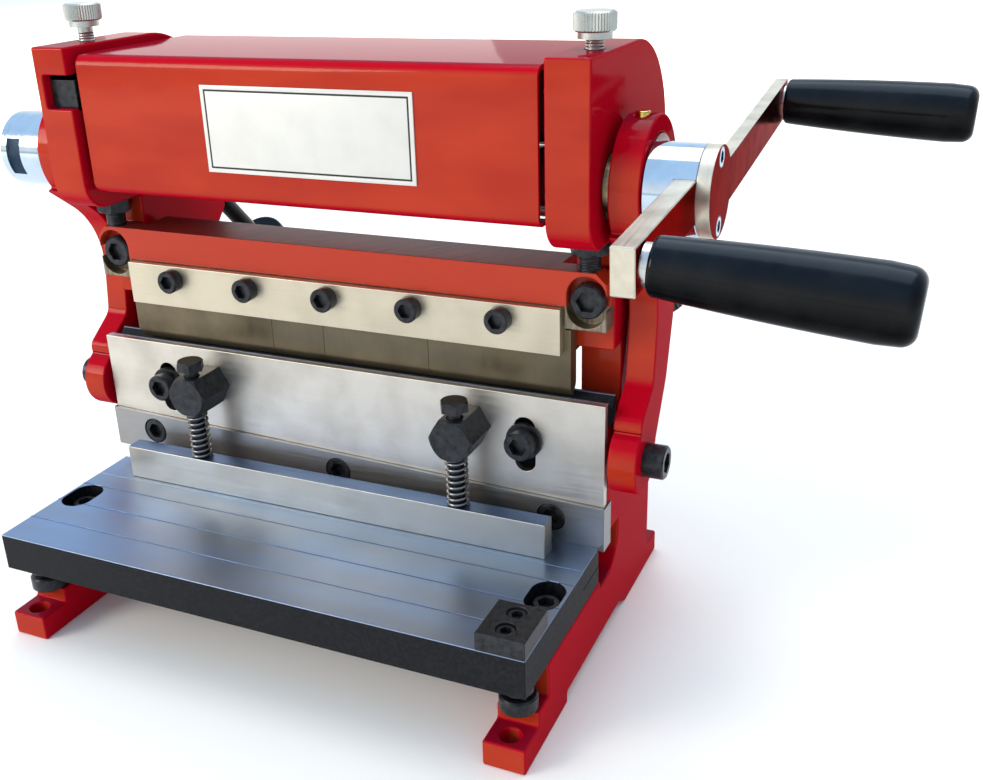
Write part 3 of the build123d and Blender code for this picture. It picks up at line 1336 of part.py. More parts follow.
def tie_bar_bolts():
    """Hexagon bolts with washers, through the frames into the ends of the tie bar."""
    washer_x = (frame_outer, frame_outer + TIE_WASHER_THICKNESS)
    washer = rod_x(TIE_WASHER_RADIUS, washer_x, tie_bar_middle_y, tie_bar_middle_z)
    washer -= rod_x(M8_LOW[0] + SLIDE_GAP, washer_x, tie_bar_middle_y, tie_bar_middle_z)
    length = TIE_WASHER_THICKNESS + FRAME_THICKNESS + TIE_BOLT_BITE
    bolt = hexagon_bolt(M8_LOW[0], TIE_BOLT_ACROSS_FLATS, TIE_BOLT_HEAD, length)
    bolt = Pos(washer_x[1], tie_bar_middle_y, tie_bar_middle_z) * Rot(0, 90, 0) * bolt
    return [bolt, washer, mirrored(bolt), mirrored(washer)]


def main():
    os.makedirs("parts", exist_ok=True)
    save("side_frame_left", mirrored(side_frame(True)))
    save("side_frame_right", side_frame(False))
    save("table_plate", table_plate())
    save("lower_shear_blade", lower_shear_blade())
    save("lower_blade_screws", *lower_blade_screws())
    save("table_screws", *table_screws())
    save("table_jacks", *table_jacks())
    save("side_fence_block", side_fence_block())
    save("side_fence_screws", *side_fence_screws())
    save("rear_tie_bar", rear_tie_bar())
    save("tie_bar_bolts", *tie_bar_bolts())
    save("upper_beam", upper_beam())
    save("upper_beam_screws", *upper_beam_screws())
    save("beam_jacks", *beam_jacks())
    save("finger_clamp_bar", finger_clamp_bar())
    save("finger_clamp_screws", *finger_clamp_screws())
    for number, finger in enumerate(punch_fingers(), start=1):
        save(f"punch_finger_{number}", finger)
    save("roll_cover", roll_cover())
    save("cover_rail", cover_rail())
    save("cover_screws", *cover_screws())
    save("label_plate", label_plate())
    save("shaft_bushes", *shaft_bushes())
    save("moving_beam", moving_beam())
    save("front_plate", front_plate())
    save("front_plate_screws", *front_plate_screws())
    save("v_die", v_die())
    save("upper_shear_blade", upper_shear_blade())
    save("upper_blade_screws", *upper_blade_screws())
    save("rod_bolts", *rod_bolts())
    save("hold_down_posts", *hold_down_posts())
    save("hold_down_bar", hold_down_bar())
    save("hold_down_bolts", *hold_down_bolts())
    spring = hold_down_spring()
    save("hold_down_spring_right", spring)
    save("hold_down_spring_left", Pos(-2 * post_x, 0, 0) * spring)
    save("drive_shaft", drive_shaft())
    save("eccentrics", *eccentrics())
    save("hub_right", hub())
    save("hub_left", mirrored(hub()))
    save("hub_cap", hub_cap())
    save("lever_screws", *lever_screws())
    save("crank_arm_front", crank_arm_front())
    save("crank_arm_rear", crank_arm_rear())
    save("grip_spindles", *grip_spindles())
    save("grip_front", front_grip_place() * grip(FRONT_COLLAR))
    save("grip_rear", rear_grip_place() * grip(REAR_COLLAR))
    rod = con_rod()
    save("con_rod_right", rod)
    save("con_rod_left", mirrored(rod))
    save("rod_oiler_right", rod_oiler())
    save("rod_oiler_left", mirrored(rod_oiler()))
    save("upper_roll", upper_roll())
    save("upper_bearing_blocks", *upper_bearing_blocks())
    save("thumb_screw_right", thumb_screw(0))
    save("thumb_screw_left", mirrored(thumb_screw(THUMB_LEFT_RISE)))
    save("rear_roll", rear_roll())
    save("rear_bearing_blocks", *rear_bearing_blocks())
    save("rear_knob_right", rear_knob())
    save("rear_knob_left", mirrored(rear_knob()))


main()
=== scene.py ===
"""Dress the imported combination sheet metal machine: finishes, eased edges, springs, label and stage."""

import json
import math

import bmesh
import bpy
from mathutils import Matrix, Vector

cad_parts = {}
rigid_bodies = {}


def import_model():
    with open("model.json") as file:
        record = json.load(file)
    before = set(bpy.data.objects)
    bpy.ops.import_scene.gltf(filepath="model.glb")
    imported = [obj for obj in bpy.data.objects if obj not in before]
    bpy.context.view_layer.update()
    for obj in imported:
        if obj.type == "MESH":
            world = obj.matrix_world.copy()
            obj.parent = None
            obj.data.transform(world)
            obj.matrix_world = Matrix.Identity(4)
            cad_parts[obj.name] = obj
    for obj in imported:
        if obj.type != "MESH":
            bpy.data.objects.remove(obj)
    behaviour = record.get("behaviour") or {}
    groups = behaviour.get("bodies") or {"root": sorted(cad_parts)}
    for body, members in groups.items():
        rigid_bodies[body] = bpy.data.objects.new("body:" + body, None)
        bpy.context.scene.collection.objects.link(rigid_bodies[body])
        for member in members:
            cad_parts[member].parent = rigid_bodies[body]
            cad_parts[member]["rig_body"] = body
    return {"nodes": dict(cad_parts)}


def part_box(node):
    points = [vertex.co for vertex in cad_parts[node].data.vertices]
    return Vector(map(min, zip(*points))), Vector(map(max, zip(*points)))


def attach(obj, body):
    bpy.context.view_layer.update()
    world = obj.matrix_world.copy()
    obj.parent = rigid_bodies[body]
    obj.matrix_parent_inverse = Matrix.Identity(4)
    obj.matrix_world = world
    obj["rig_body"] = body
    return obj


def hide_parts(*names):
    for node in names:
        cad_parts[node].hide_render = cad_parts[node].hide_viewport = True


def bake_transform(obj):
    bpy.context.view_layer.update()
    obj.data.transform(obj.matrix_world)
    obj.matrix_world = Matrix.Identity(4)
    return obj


bl_info = {
    "name": "Combination Sheet Metal Machine",
    "version": (1, 0, 0),
    "blender": (4, 5, 0),
    "location": "3D View > Sidebar > Machine",
    "description": "Finishes, eased edges, springs, label and stage for the packed machine",
    "category": "Add Mesh",
}

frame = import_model()

MM = 0.001

# Millimetres: the heads' pockets, the beam from its top to the ears' paint line, a thumb screw's threaded
# stem, a height stud's nut with its seat, and the depth of every 1 mm thread as shaded
POCKET_HEIGHT = 13.2
EAR_DROP = 13.5
THUMB_STEM = 16.0
NUT_AND_SEAT = 9.5
THREAD_DEPTH = 0.25
# Scale of a wave texture whose bands repeat every millimetre, the pitch of the threads
THREAD_BANDS = 2 * math.pi / (20 * MM)

# Merging and easing of the CAD nodes: millimetres and degrees
MERGE_GAP = 0.002
FLAT_ANGLE = 0.3
SHARP_ANGLE = 35
EASE_STEPS = 3

# Finish, record slot, and the edge radius in millimetres of each node that stands with eased edges
CASTINGS = (
    ("red alkyd enamel", "red_enamel", {"con_rod_left": 0.8, "con_rod_right": 0.8, "roll_cover": 0.25}),
    ("red enamel with bare pockets", "red_enamel", {"side_frame_left": 0.9, "side_frame_right": 0.9}),
    ("red enamel with a bare front", "red_enamel", {"moving_beam": 0.6}),
)
BARS = (
    ("surface-ground steel", "ground_steel", {"front_plate": 0.25, "rear_tie_bar": 0.5, "cover_rail": 0.3}),
    ("bright milled steel", "ground_steel", {"finger_clamp_bar": 0.3}),
    ("cool ground steel", "ground_steel", {"upper_shear_blade": 0.15}),
    ("hold-down bar steel", "ground_steel", {"hold_down_bar": 0.35}),
    ("ground blade steel", "ground_steel", {"lower_shear_blade": 0.12}),
    ("ground die steel", "ground_steel", {"v_die": 0.15}),
    (
        "hardened finger steel",
        "tool_steel",
        {"punch_finger_1": 0.12, "punch_finger_2": 0.12, "punch_finger_3": 0.12, "punch_finger_4": 0.12},
    ),
)
TABLE_AND_BLOCKS = (
    ("ground table steel", "table_steel", {"table_plate": 0.35}),
    (
        "black oxide steel",
        "black_oxide",
        {"side_fence_block": 0.4, "upper_bearing_blocks": 0.3, "rear_bearing_blocks": 0.3},
    ),
)

# Finish of each node that keeps its own mesh
BEAM = {"upper beam enamel and bare steel": ("upper_beam",)}
HARDWARE = {
    "black oxide steel": (
        "hold_down_posts",
        "lower_blade_screws",
        "table_screws",
        "table_jacks",
        "side_fence_screws",
        "tie_bar_bolts",
        "upper_beam_screws",
        "finger_clamp_screws",
        "cover_screws",
        "front_plate_screws",
        "upper_blade_screws",
        "rod_bolts",
        "hold_down_bolts",
    ),
    "black oxide studs": ("beam_jacks",),
    "brushed and polished bar steel": ("crank_arm_front", "crank_arm_rear"),
    "bright chrome plate": ("hub_left", "hub_right", "hub_cap", "lever_screws"),
    "turned roll steel": ("drive_shaft", "upper_roll", "rear_roll", "grip_spindles", "eccentrics"),
    "zinc plate": ("thumb_screw_left", "thumb_screw_right"),
    "bright brass": ("rod_oiler_left", "rod_oiler_right"),
    "turned bronze": ("shaft_bushes",),
    "moulded black plastic": ("grip_front", "grip_rear", "rear_knob_left", "rear_knob_right"),
}

# Hold-down springs: active turns, corners of the wire's section and steps in a turn
SPRING_TURNS = 7
WIRE_CORNERS = 12
TURN_STEPS = 28
# Share of the wire's radius that is ground off each end
GROUND_SHARE = 0.3
# Merging of the coils and cutting of their ends in millimetres, and their smooth shading in degrees
COIL_GAP = 0.01
CUT_GAP = 0.0001
COIL_SMOOTH = 40

# Label plate: degrees from which its edges are rounded, steps of the rounding, and smooth shading
LABEL_SHARP = 60
LABEL_STEPS = 2
LABEL_SMOOTH = 30

# Camera as solved from the photograph: metres, degrees, millimetres, and shares of the frame's width
CAMERA_PLACE = (0.23034, -0.36210, 0.27342)
CAMERA_TURN = 25.139
CAMERA_TILT = 67.035
CAMERA_ROLL = -2.120
CAMERA_SENSOR = 36
CAMERA_LENS = 41.75
CAMERA_SHIFT = (0.02365, -0.0022)
CAMERA_NEAR = 0.01

# Room: its strength, its glow near the floor and overhead, and how dark its crank side is
ROOM_STRENGTH = 1.24
ROOM_LOW = (1.0, 0.985, 0.965)
ROOM_HIGH = (0.58, 0.77, 1.0)
ROOM_SHADE = 0.5

# Middle of the machine, and lamps: name, place, aim and side in metres, power in watts and colour
MACHINE_MIDDLE = (0.0, 0.0, 0.1)
LAMPS = (
    ("key softbox", (-1.4, -1.5, 1.0), MACHINE_MIDDLE, 0.9, 27.0, (1.0, 0.92, 0.82)),
    ("top softbox", (0.1, 0.5, 1.7), MACHINE_MIDDLE, 1.4, 14.0, (1.0, 0.95, 0.88)),
    ("rim softbox", (-0.95, 1.5, 0.52), MACHINE_MIDDLE, 0.72, 2.0, (1.0, 0.98, 0.97)),
    # Turned away from the machine, onto the far end of the floor
    ("floor softbox", (-0.9, 2.0, 1.1), (-1.2, 2.8, 0.0), 2.6, 45.0, (1.0, 0.8, 0.55)),
)


def linear(code):
    """The linear colour of an sRGB hex code."""
    parts = [int(code[i : i + 2], 16) / 255 for i in (1, 3, 5)]
    return tuple(c / 12.92 if c <= 0.04045 else ((c + 0.055) / 1.055) ** 2.4 for c in parts)


def colour_choice(name, description, code):
    return bpy.props.FloatVectorProperty(
        name=name, description=description, subtype="COLOR", size=3, min=0, max=1, default=linear(code)
    )


def length_choice(name, description, millimetres):
    return bpy.props.FloatProperty(
        name=name, description=description, default=millimetres * MM, min=0, subtype="DISTANCE", unit="LENGTH"
    )


class MachineColours(bpy.types.PropertyGroup):
    """Colours of the machine's finishes."""

    # The enamel and thin enamel colours are a paler orange red that carries a painted sheen of the flat fronts
    enamel: colour_choice("Enamel", "Red enamel where it lies thick", "#B2341C")
    enamel_thin: colour_choice("Thin enamel", "Red enamel where it ran thin", "#A62B19")
    # Flanks are painted a deeper crimson and level tops darker, as painted shade
    enamel_flank_shade: colour_choice("Enamel flanks", "Red enamel on the flanks and the eased edges", "#B2061C")
    enamel_top_shade: colour_choice("Enamel tops", "Red enamel on level faces, where it settled thick", "#8A0B22")
    beam_top: colour_choice("Beam top", "Milled top of the upper beam under thin enamel", "#4A1A1D")
    beam_ear: colour_choice("Beam ears", "Bare oiled steel below the upper beam's enamel", "#75664F")
    # The table top's blue is a painted reflection of the sky over ground steel
    table_top_and_sky: colour_choice("Table top", "Surface-ground top of the table", "#8298B8")
    table_side: colour_choice("Table sides", "Blackened sides of the table", "#0B0D11")
    ground: colour_choice("Ground steel", "Freshly ground steel bars", "#CFC9BF")
    blade: colour_choice("Blade steel", "Ground steel of the upper blade", "#9A9A9B")
    cool: colour_choice("Cool steel", "Ground steel of the hold-down bar", "#BAB6AB")
    # The hold-down bar's top colour is blue as a painted reflection of the sky
    cool_top_sky: colour_choice("Oiled top", "Top of the hold-down bar under an old film of oil", "#5F769A")
    bright: colour_choice("Bright steel", "Milled bright steel of the clamp bar", "#C8BEA9")
    arm_edge: colour_choice("Arm edges", "Brushed edges and ends of the crank arms", "#DAD0BD")
    # The arms' sides and their gloss are tinted red, a painted reflection of the red frame
    arm_side_and_red_reflection: colour_choice("Arm sides", "Dark polished sides of the crank arms", "#8C4844")
    arm_red_reflection_tint: colour_choice("Arm glance", "What the arms' dark sides mirror at a flat angle", "#BC8686")
    dull: colour_choice("Dull steel", "Steel with a dry film of oil", "#8D8575")
    finger: colour_choice("Finger steel", "Dark face of the punch fingers", "#7A6D55")
    # Machined seats are painted near black, as painted shade in the pockets and behind the plate's slot
    bare_seat_shade: colour_choice("Machined seats", "Bare cast iron in pockets and seats, dark with old oil", "#101012")
    oxide: colour_choice("Black oxide", "Blackened screws and blocks", "#1A1B1D")
    oxide_grey: colour_choice("Worn oxide", "Black oxide where it is rubbed thin", "#35363A")
    chrome: colour_choice("Chrome", "Bright hubs", "#BFCEDC")
    roll: colour_choice("Roll steel", "Turned rolls, shaft and spindles", "#C8C8C6")
    zinc: colour_choice("Zinc", "Plated thumb screws", "#C2C3BC")
    spring: colour_choice("Spring steel", "Wire of the hold-down springs", "#8A8886")
    bronze: colour_choice("Bronze", "Turned shaft bushes", "#B08A4A")
    brass: colour_choice("Brass", "Ball oilers of the connecting rods", "#D2B25E")
    plastic: colour_choice("Plastic", "Black grips", "#060608")
    # The grips' gloss is tinted blue on top as a painted sky reflection
    grip_glance: colour_choice("Grip glance", "Gloss on the sides and undersides of the grips", "#FFFFF9")
    grip_sky: colour_choice("Grip sky", "Gloss on the tops of the grips, cooler from the room above", "#B3DAFF")
    label: colour_choice("Label", "Pale label plate", "#D8D5CD")
    ink: colour_choice("Border", "Dark border of the label plate", "#1C1B1A")
    floor: colour_choice("Floor", "Pale floor", "#FFFAF2")


class MachineSizes(bpy.types.PropertyGroup):
    """Sizes of the pieces that are modelled here."""

    spring_wire: length_choice("Spring wire", "Radius of the hold-down springs' wire", 0.6)
    spring_radius: length_choice("Spring radius", "Middle radius of the hold-down springs", 3.9)
    end_pitch: length_choice("End coil pitch", "Rise of each spring's closed end coil", 1.25)
    border_inset: length_choice("Border inset", "Distance of the label's border from its edge", 1.5)
    border_width: length_choice("Border width", "Width of the label's border", 0.7)
    border_wall: length_choice("Border wall", "Slope of the sunk border's walls", 0.02)
    border_depth: length_choice("Border depth", "Depth of the sunk border", 0.05)
    label_edge: length_choice("Label edge", "Rounding of the label plate's edges", 0.12)
    floor_size: length_choice("Floor size", "Side of the square floor", 30000)


def feed(tree, node, inputs):
    """Gives a node's inputs, by name or in order, a value or another node's output."""
    for name, value in inputs.items() if isinstance(inputs, dict) else enumerate(inputs):
        if isinstance(value, bpy.types.NodeSocket):
            tree.links.new(value, node.inputs[name])
        else:
            node.inputs[name].default_value = value


def add(tree, kind, settings, inputs):
    """Adds a shader node with its own settings, and feeds its inputs."""
    node = tree.nodes.new("ShaderNode" + kind)
    for name, value in settings.items():
        setattr(node, name, value)
    feed(tree, node, inputs)
    return node


def start_finish(name):
    """A new material: its tree, its shader and the coordinates of the piece itself."""
    material = bpy.data.materials.new(name)
    material.use_nodes = True
    tree = material.node_tree
    tree.nodes.clear()
    shader = add(tree, "BsdfPrincipled", {}, {})
    add(tree, "OutputMaterial", {}, {"Surface": shader.outputs["BSDF"]})
    return tree, shader, add(tree, "TexCoord", {}, {}).outputs["Object"]


def facing(tree):
    """How far the surface faces along X, Y and Z of the piece itself."""
    normal = add(tree, "TexCoord", {}, {}).outputs["Normal"]
    return add(tree, "SeparateXYZ", {}, {"Vector": normal}).outputs


def pattern(tree, place, sizes, detail=2.0):
    """Blots or strokes with these sizes in millimetres along X, Y and Z."""
    scale = tuple(1 / (size * MM) for size in sizes)
    drawn = add(tree, "Mapping", {"vector_type": "POINT"}, {"Vector": place, "Scale": scale})
    inputs = {"Vector": drawn.outputs["Vector"], "Scale": 1.0, "Detail": detail}
    return add(tree, "TexNoise", {"noise_dimensions": "3D"}, inputs).outputs["Fac"]


def toned(tree, share, low, high, most, first, second):
    """A colour that turns from the first towards the second while a share goes from low to high."""
    turn = add(tree, "MapRange", {}, (share, low, high, 0.0, most)).outputs["Result"]
    first, second = (end if isinstance(end, bpy.types.NodeSocket) else (*end, 1.0) for end in (first, second))
    # A Mix node takes its share at 0, and two numbers at 2 and 3 or two colours at 6 and 7
    return add(tree, "Mix", {"data_type": "RGBA"}, {0: turn, 6: first, 7: second}).outputs[2]


def dimmed(colour, share):
    return tuple(share * part for part in colour)


def finish_surface(tree, shader, inputs, relief, depth, corner=None):
    """Feeds the shader, and raises the surface by a relief that is depth millimetres deep."""
    feed(tree, shader, inputs)
    height = {"Height": relief, "Distance": depth * MM}
    if corner is not None:
        # Sharp corners are shaded as if they were rounded to this radius in millimetres
        height["Normal"] = add(tree, "Bevel", {"samples": 6}, {"Radius": corner * MM}).outputs["Normal"]
    raised = add(tree, "Bump", {}, height).outputs["Normal"]
    tree.links.new(raised, shader.inputs["Normal"])
    return raised


def worn_edge(tree, radius, low, high):
    """From 0 on flat faces to 1 where the surface turns within a radius in millimetres."""
    soft = add(tree, "Bevel", {"samples": 4}, {"Radius": radius * MM}).outputs["Normal"]
    true = add(tree, "NewGeometry", {}, {}).outputs["Normal"]
    turn = add(tree, "VectorMath", {"operation": "DOT_PRODUCT"}, (soft, true)).outputs["Value"]
    return add(tree, "MapRange", {}, (turn, high, low, 0.0, 1.0)).outputs["Result"]


def inside(tree, place, low, high):
    """1 between two corners and 0 outside them, the same on both sides of the machine's middle."""
    blur = 0.1 * MM
    parts = add(tree, "SeparateXYZ", {}, {"Vector": place}).outputs
    across = add(tree, "Math", {"operation": "ABSOLUTE"}, (parts["X"],)).outputs["Value"]
    share = None
    for value, start, end in zip((across, parts["Y"], parts["Z"]), low, high):
        for limit, first, last in ((start, 0.0, 1.0), (end, 1.0, 0.0)):
            spread = (value, limit - blur, limit + blur, first, last)
            step = add(tree, "MapRange", {}, spread).outputs["Result"]
            if share is not None:
                step = add(tree, "Math", {"operation": "MULTIPLY"}, (share, step)).outputs["Value"]
            share = step
    return share


def thread_relief(tree, place, low, high):
    """Height of a 1 mm thread between two heights, and a flat surface elsewhere."""
    runout = 0.3 * MM
    settings = {"wave_type": "BANDS", "bands_direction": "Z", "wave_profile": "SIN"}
    wave = add(tree, "TexWave", settings, {"Vector": place, "Scale": THREAD_BANDS, "Detail": 0.0})
    height = add(tree, "SeparateXYZ", {}, {"Vector": place}).outputs["Z"]
    above = add(tree, "MapRange", {}, (height, low, low + runout, 0.0, 1.0)).outputs["Result"]
    below = add(tree, "MapRange", {}, (height, high - runout, high, 1.0, 0.0)).outputs["Result"]
    within = add(tree, "Math", {"operation": "MULTIPLY"}, (above, below)).outputs["Value"]
    return add(tree, "Math", {"operation": "MULTIPLY"}, (wave.outputs["Fac"], within)).outputs["Value"]


def enamel_finish(colours, name, bare=None):
    """Alkyd enamel sprayed thick on cast iron: a wet gloss, a slow orange peel, painted sheen and shade by
    facing, and bare machined seats painted near black as painted shade.
    """
    tree, shader, place = start_finish(name)
    # Orange peel of about 4 mm over slow runs about 40 mm wide and 14 mm high
    peel = pattern(tree, place, (4.0, 4.0, 4.0), 1.0)
    runs = pattern(tree, place, (40.0, 40.0, 14.0))
    red = toned(tree, runs, 0.35, 0.65, 1.0, colours.enamel_thin, colours.enamel)
    # Flat fronts and level faces are the glossiest. Fronts keep the paler orange red as a painted sheen, flanks
    # and eased edges are painted a deeper crimson and level tops darker, as painted shade
    look = facing(tree)
    forward = add(tree, "Math", {"operation": "ABSOLUTE"}, (look["Y"],)).outputs["Value"]
    forward = add(tree, "MapRange", {}, (forward, 0.8, 0.97, 0.0, 1.0)).outputs["Result"]
    level = add(tree, "MapRange", {}, (look["Z"], 0.8, 0.97, 0.0, 1.0)).outputs["Result"]
    red = toned(tree, forward, 0.0, 1.0, 1.0, colours.enamel_flank_shade, red)
    red = toned(tree, level, 0.0, 1.0, 1.0, red, colours.enamel_top_shade)
    flat = add(tree, "Math", {"operation": "MAXIMUM"}, (forward, level)).outputs["Value"]
    coat = add(tree, "MapRange", {}, (flat, 0.0, 1.0, 0.1, 0.3)).outputs["Result"]
    # Bare seats are painted near black, as painted shade
    if bare is not None:
        bare_seat_shade = inside(tree, place, *bare)
        red = toned(tree, bare_seat_shade, 0.0, 1.0, 1.0, red, colours.bare_seat_shade)
        painted = add(tree, "MapRange", {}, (bare_seat_shade, 0.0, 1.0, 1.0, 0.0)).outputs["Result"]
        coat = add(tree, "Math", {"operation": "MULTIPLY"}, (coat, painted)).outputs["Value"]
    inputs = {
        "Base Color": red,
        "Roughness": 0.5,
        "IOR": 1.5,
        "Specular IOR Level": 0.0,
        "Coat Weight": coat,
        "Coat Roughness": 0.08,
    }
    relief = add(tree, "Math", {"operation": "MULTIPLY_ADD"}, (runs, 3.0, peel)).outputs["Value"]
    raised = finish_surface(tree, shader, inputs, relief, 0.03)
    tree.links.new(raised, shader.inputs["Coat Normal"])


def beam_finish(colours, name, top, ear):
    """Red enamel in front, a milled top under thin enamel, and bare steel below the ears' paint line."""
    tree, shader, place = start_finish(name)
    height = add(tree, "SeparateXYZ", {}, {"Vector": place}).outputs["Z"]
    on_top = add(tree, "MapRange", {}, (height, top - 0.25 * MM, top - 0.1 * MM, 0.0, 1.0)).outputs["Result"]
    # The paint line is frayed by up to 1.5 mm
    fray = pattern(tree, place, (3.0, 3.0, 3.0), 3.0)
    line = add(tree, "Math", {"operation": "MULTIPLY_ADD"}, (fray, 1.5 * MM, height)).outputs["Value"]
    painted = add(tree, "MapRange", {}, (line, ear + 0.5 * MM, ear + MM, 0.0, 1.0)).outputs["Result"]
    # Milling marks cross the top at a slant, about 1 mm apart
    slant = {"Vector": place, "Angle": math.radians(35)}
    turned = add(tree, "VectorRotate", {"rotation_type": "Z_AXIS"}, slant).outputs["Vector"]
    marks = pattern(tree, turned, (0.9, 26.0, 9.0), 3.0)
    milled = toned(tree, marks, 0.3, 0.7, 0.6, colours.beam_top, colours.enamel_thin)
    bare = toned(tree, marks, 0.4, 0.6, 1.0, colours.beam_ear, colours.dull)
    front = toned(tree, painted, 0.0, 1.0, 1.0, bare, colours.enamel)
    gloss = add(tree, "MapRange", {}, (on_top, 0.0, 1.0, 0.28, 0.03)).outputs["Result"]
    inputs = {
        "Base Color": toned(tree, on_top, 0.0, 1.0, 1.0, front, milled),
        "Metallic": add(tree, "MapRange", {}, (painted, 0.0, 1.0, 0.9, 0.0)).outputs["Result"],
        "Roughness": 0.45,
        "IOR": 1.5,
        "Specular IOR Level": 0.1,
        "Coat Weight": add(tree, "Math", {"operation": "MULTIPLY"}, (painted, gloss)).outputs["Value"],
        "Coat Roughness": add(tree, "MapRange", {}, (on_top, 0.0, 1.0, 0.09, 0.3)).outputs["Result"],
    }
    peel = pattern(tree, place, (4.0, 4.0, 4.0), 1.0)
    relief = add(tree, "Mix", {"data_type": "FLOAT"}, {0: on_top, 2: peel, 3: marks}).outputs[0]
    raised = finish_surface(tree, shader, inputs, relief, 0.03, corner=0.6)
    tree.links.new(raised, shader.inputs["Coat Normal"])


def ground_finish(colours, name, fresh, line_sizes, stain, upper=None):
    """Ground or milled steel: pale metal with straight tool lines and dry oil stains, and on request a blue top
    that is a painted sky reflection.
    """
    tree, shader, place = start_finish(name)
    # Grinding lines are 0.1 mm apart, and 0.7 mm is the finest that shows
    lines = pattern(tree, place, line_sizes)
    cloud = pattern(tree, place, (22.0, 22.0, 22.0), 4.0)
    steel = toned(tree, cloud, 0.42, 0.68, stain, fresh, colours.dull)
    # Up-facing faces turn to the upper colour, a blue painted reflection of the sky
    if upper is not None:
        steel = toned(tree, facing(tree)["Z"], 0.6, 0.9, 1.0, steel, upper)
    inputs = {
        "Base Color": steel,
        "Metallic": 1.0,
        "Roughness": add(tree, "MapRange", {}, (lines, 0.3, 0.7, 0.36, 0.5)).outputs["Result"],
    }
    finish_surface(tree, shader, inputs, lines, 0.012)


def table_finish(colours, name, top):
    """Cast and machined steel: bright and ground on top, with a blue painted sky reflection in its colour,
    blackened on its sides.
    """
    tree, shader, place = start_finish(name)
    height = add(tree, "SeparateXYZ", {}, {"Vector": place}).outputs["Z"]
    bright = add(tree, "MapRange", {}, (height, top - 0.35 * MM, top - 0.15 * MM, 0.0, 1.0)).outputs["Result"]
    lines = pattern(tree, place, (60.0, 0.9, 0.9))
    cloud = pattern(tree, place, (35.0, 35.0, 35.0), 4.0)
    smear = pattern(tree, place, (50.0, 12.0, 12.0), 4.0)
    scale = pattern(tree, place, (1.4, 1.4, 1.4), 5.0)
    # The top's blue tint is a painted reflection of the sky
    steel = toned(tree, smear, 0.35, 0.7, 0.35, colours.table_top_and_sky, colours.dull)
    skin = toned(tree, scale, 0.4, 0.8, 0.35, colours.table_side, colours.oxide_grey)
    top_rough = add(tree, "MapRange", {}, (cloud, 0.3, 0.7, 0.33, 0.44)).outputs["Result"]
    side_rough = add(tree, "MapRange", {}, (scale, 0.3, 0.7, 0.45, 0.6)).outputs["Result"]
    rough = add(tree, "Mix", {"data_type": "FLOAT"}, {0: bright, 2: side_rough, 3: top_rough}).outputs[0]
    inputs = {
        "Base Color": toned(tree, bright, 0.0, 1.0, 1.0, skin, steel),
        "Metallic": bright,
        "Specular IOR Level": 0.16,
        "Roughness": rough,
    }
    relief = add(tree, "Mix", {"data_type": "FLOAT"}, {0: bright, 2: scale, 3: lines}).outputs[0]
    finish_surface(tree, shader, inputs, relief, 0.012)


def finger_finish(colours, name):
    """Hardened tool steel left dark from the furnace, with an oily brown bloom."""
    tree, shader, place = start_finish(name)
    lines = pattern(tree, place, (0.9, 0.9, 14.0))
    cloud = pattern(tree, place, (18.0, 18.0, 18.0), 4.0)
    inputs = {
        "Base Color": toned(tree, cloud, 0.35, 0.65, 1.0, colours.finger, dimmed(colours.finger, 0.7)),
        "Metallic": 0.75,
        "Roughness": add(tree, "MapRange", {}, (lines, 0.3, 0.7, 0.34, 0.5)).outputs["Result"],
    }
    finish_surface(tree, shader, inputs, lines, 0.01)


def black_finish(colours, name, threads=None):
    """Black oxide on steel: dull black with a trace of oil, steel showing on the edges, and painted shade in
    its recesses.
    """
    tree, shader, place = start_finish(name)
    cloud = pattern(tree, place, (2.5, 2.5, 2.5), 4.0)
    wear = worn_edge(tree, 0.35, 0.75, 0.97)
    rubbed = add(tree, "Math", {"operation": "MULTIPLY"}, (wear, cloud)).outputs["Value"]
    black = toned(tree, cloud, 0.3, 0.7, 1.0, colours.oxide, colours.oxide_grey)
    worn = toned(tree, rubbed, 0.25, 0.6, 0.4, black, colours.dull)
    # Sockets, pockets and the roots of heads are darkened by ambient occlusion, as painted shade
    depth = add(tree, "AmbientOcclusion", {"samples": 4, "only_local": True}, {"Distance": 2.5 * MM})
    inputs = {
        "Base Color": toned(tree, depth.outputs["AO"], 0.8, 0.25, 0.75, worn, linear("#000000")),
        "Metallic": add(tree, "MapRange", {}, (rubbed, 0.25, 0.6, 0.45, 0.95)).outputs["Result"],
        "Specular IOR Level": 0.35,
        "Roughness": add(tree, "MapRange", {}, (cloud, 0.3, 0.7, 0.26, 0.4)).outputs["Result"],
    }
    if threads is None:
        finish_surface(tree, shader, inputs, cloud, 0.01)
    else:
        finish_surface(tree, shader, inputs, thread_relief(tree, place, *threads), THREAD_DEPTH)


def bright_finish(name, colour, rough_low, rough_high, line_sizes, depth, threads=None):
    """Turned or plated metal with fine lines round or along it."""
    tree, shader, place = start_finish(name)
    lines = pattern(tree, place, line_sizes)
    haze = pattern(tree, place, (6.0, 6.0, 6.0), 3.0)
    inputs = {
        "Base Color": toned(tree, haze, 0.4, 0.7, 0.6, colour, dimmed(colour, 0.82)),
        "Metallic": 1.0,
        "Roughness": add(tree, "MapRange", {}, (lines, 0.3, 0.7, rough_low, rough_high)).outputs["Result"],
    }
    if threads is None:
        finish_surface(tree, shader, inputs, lines, depth)
    else:
        finish_surface(tree, shader, inputs, thread_relief(tree, place, *threads), THREAD_DEPTH)


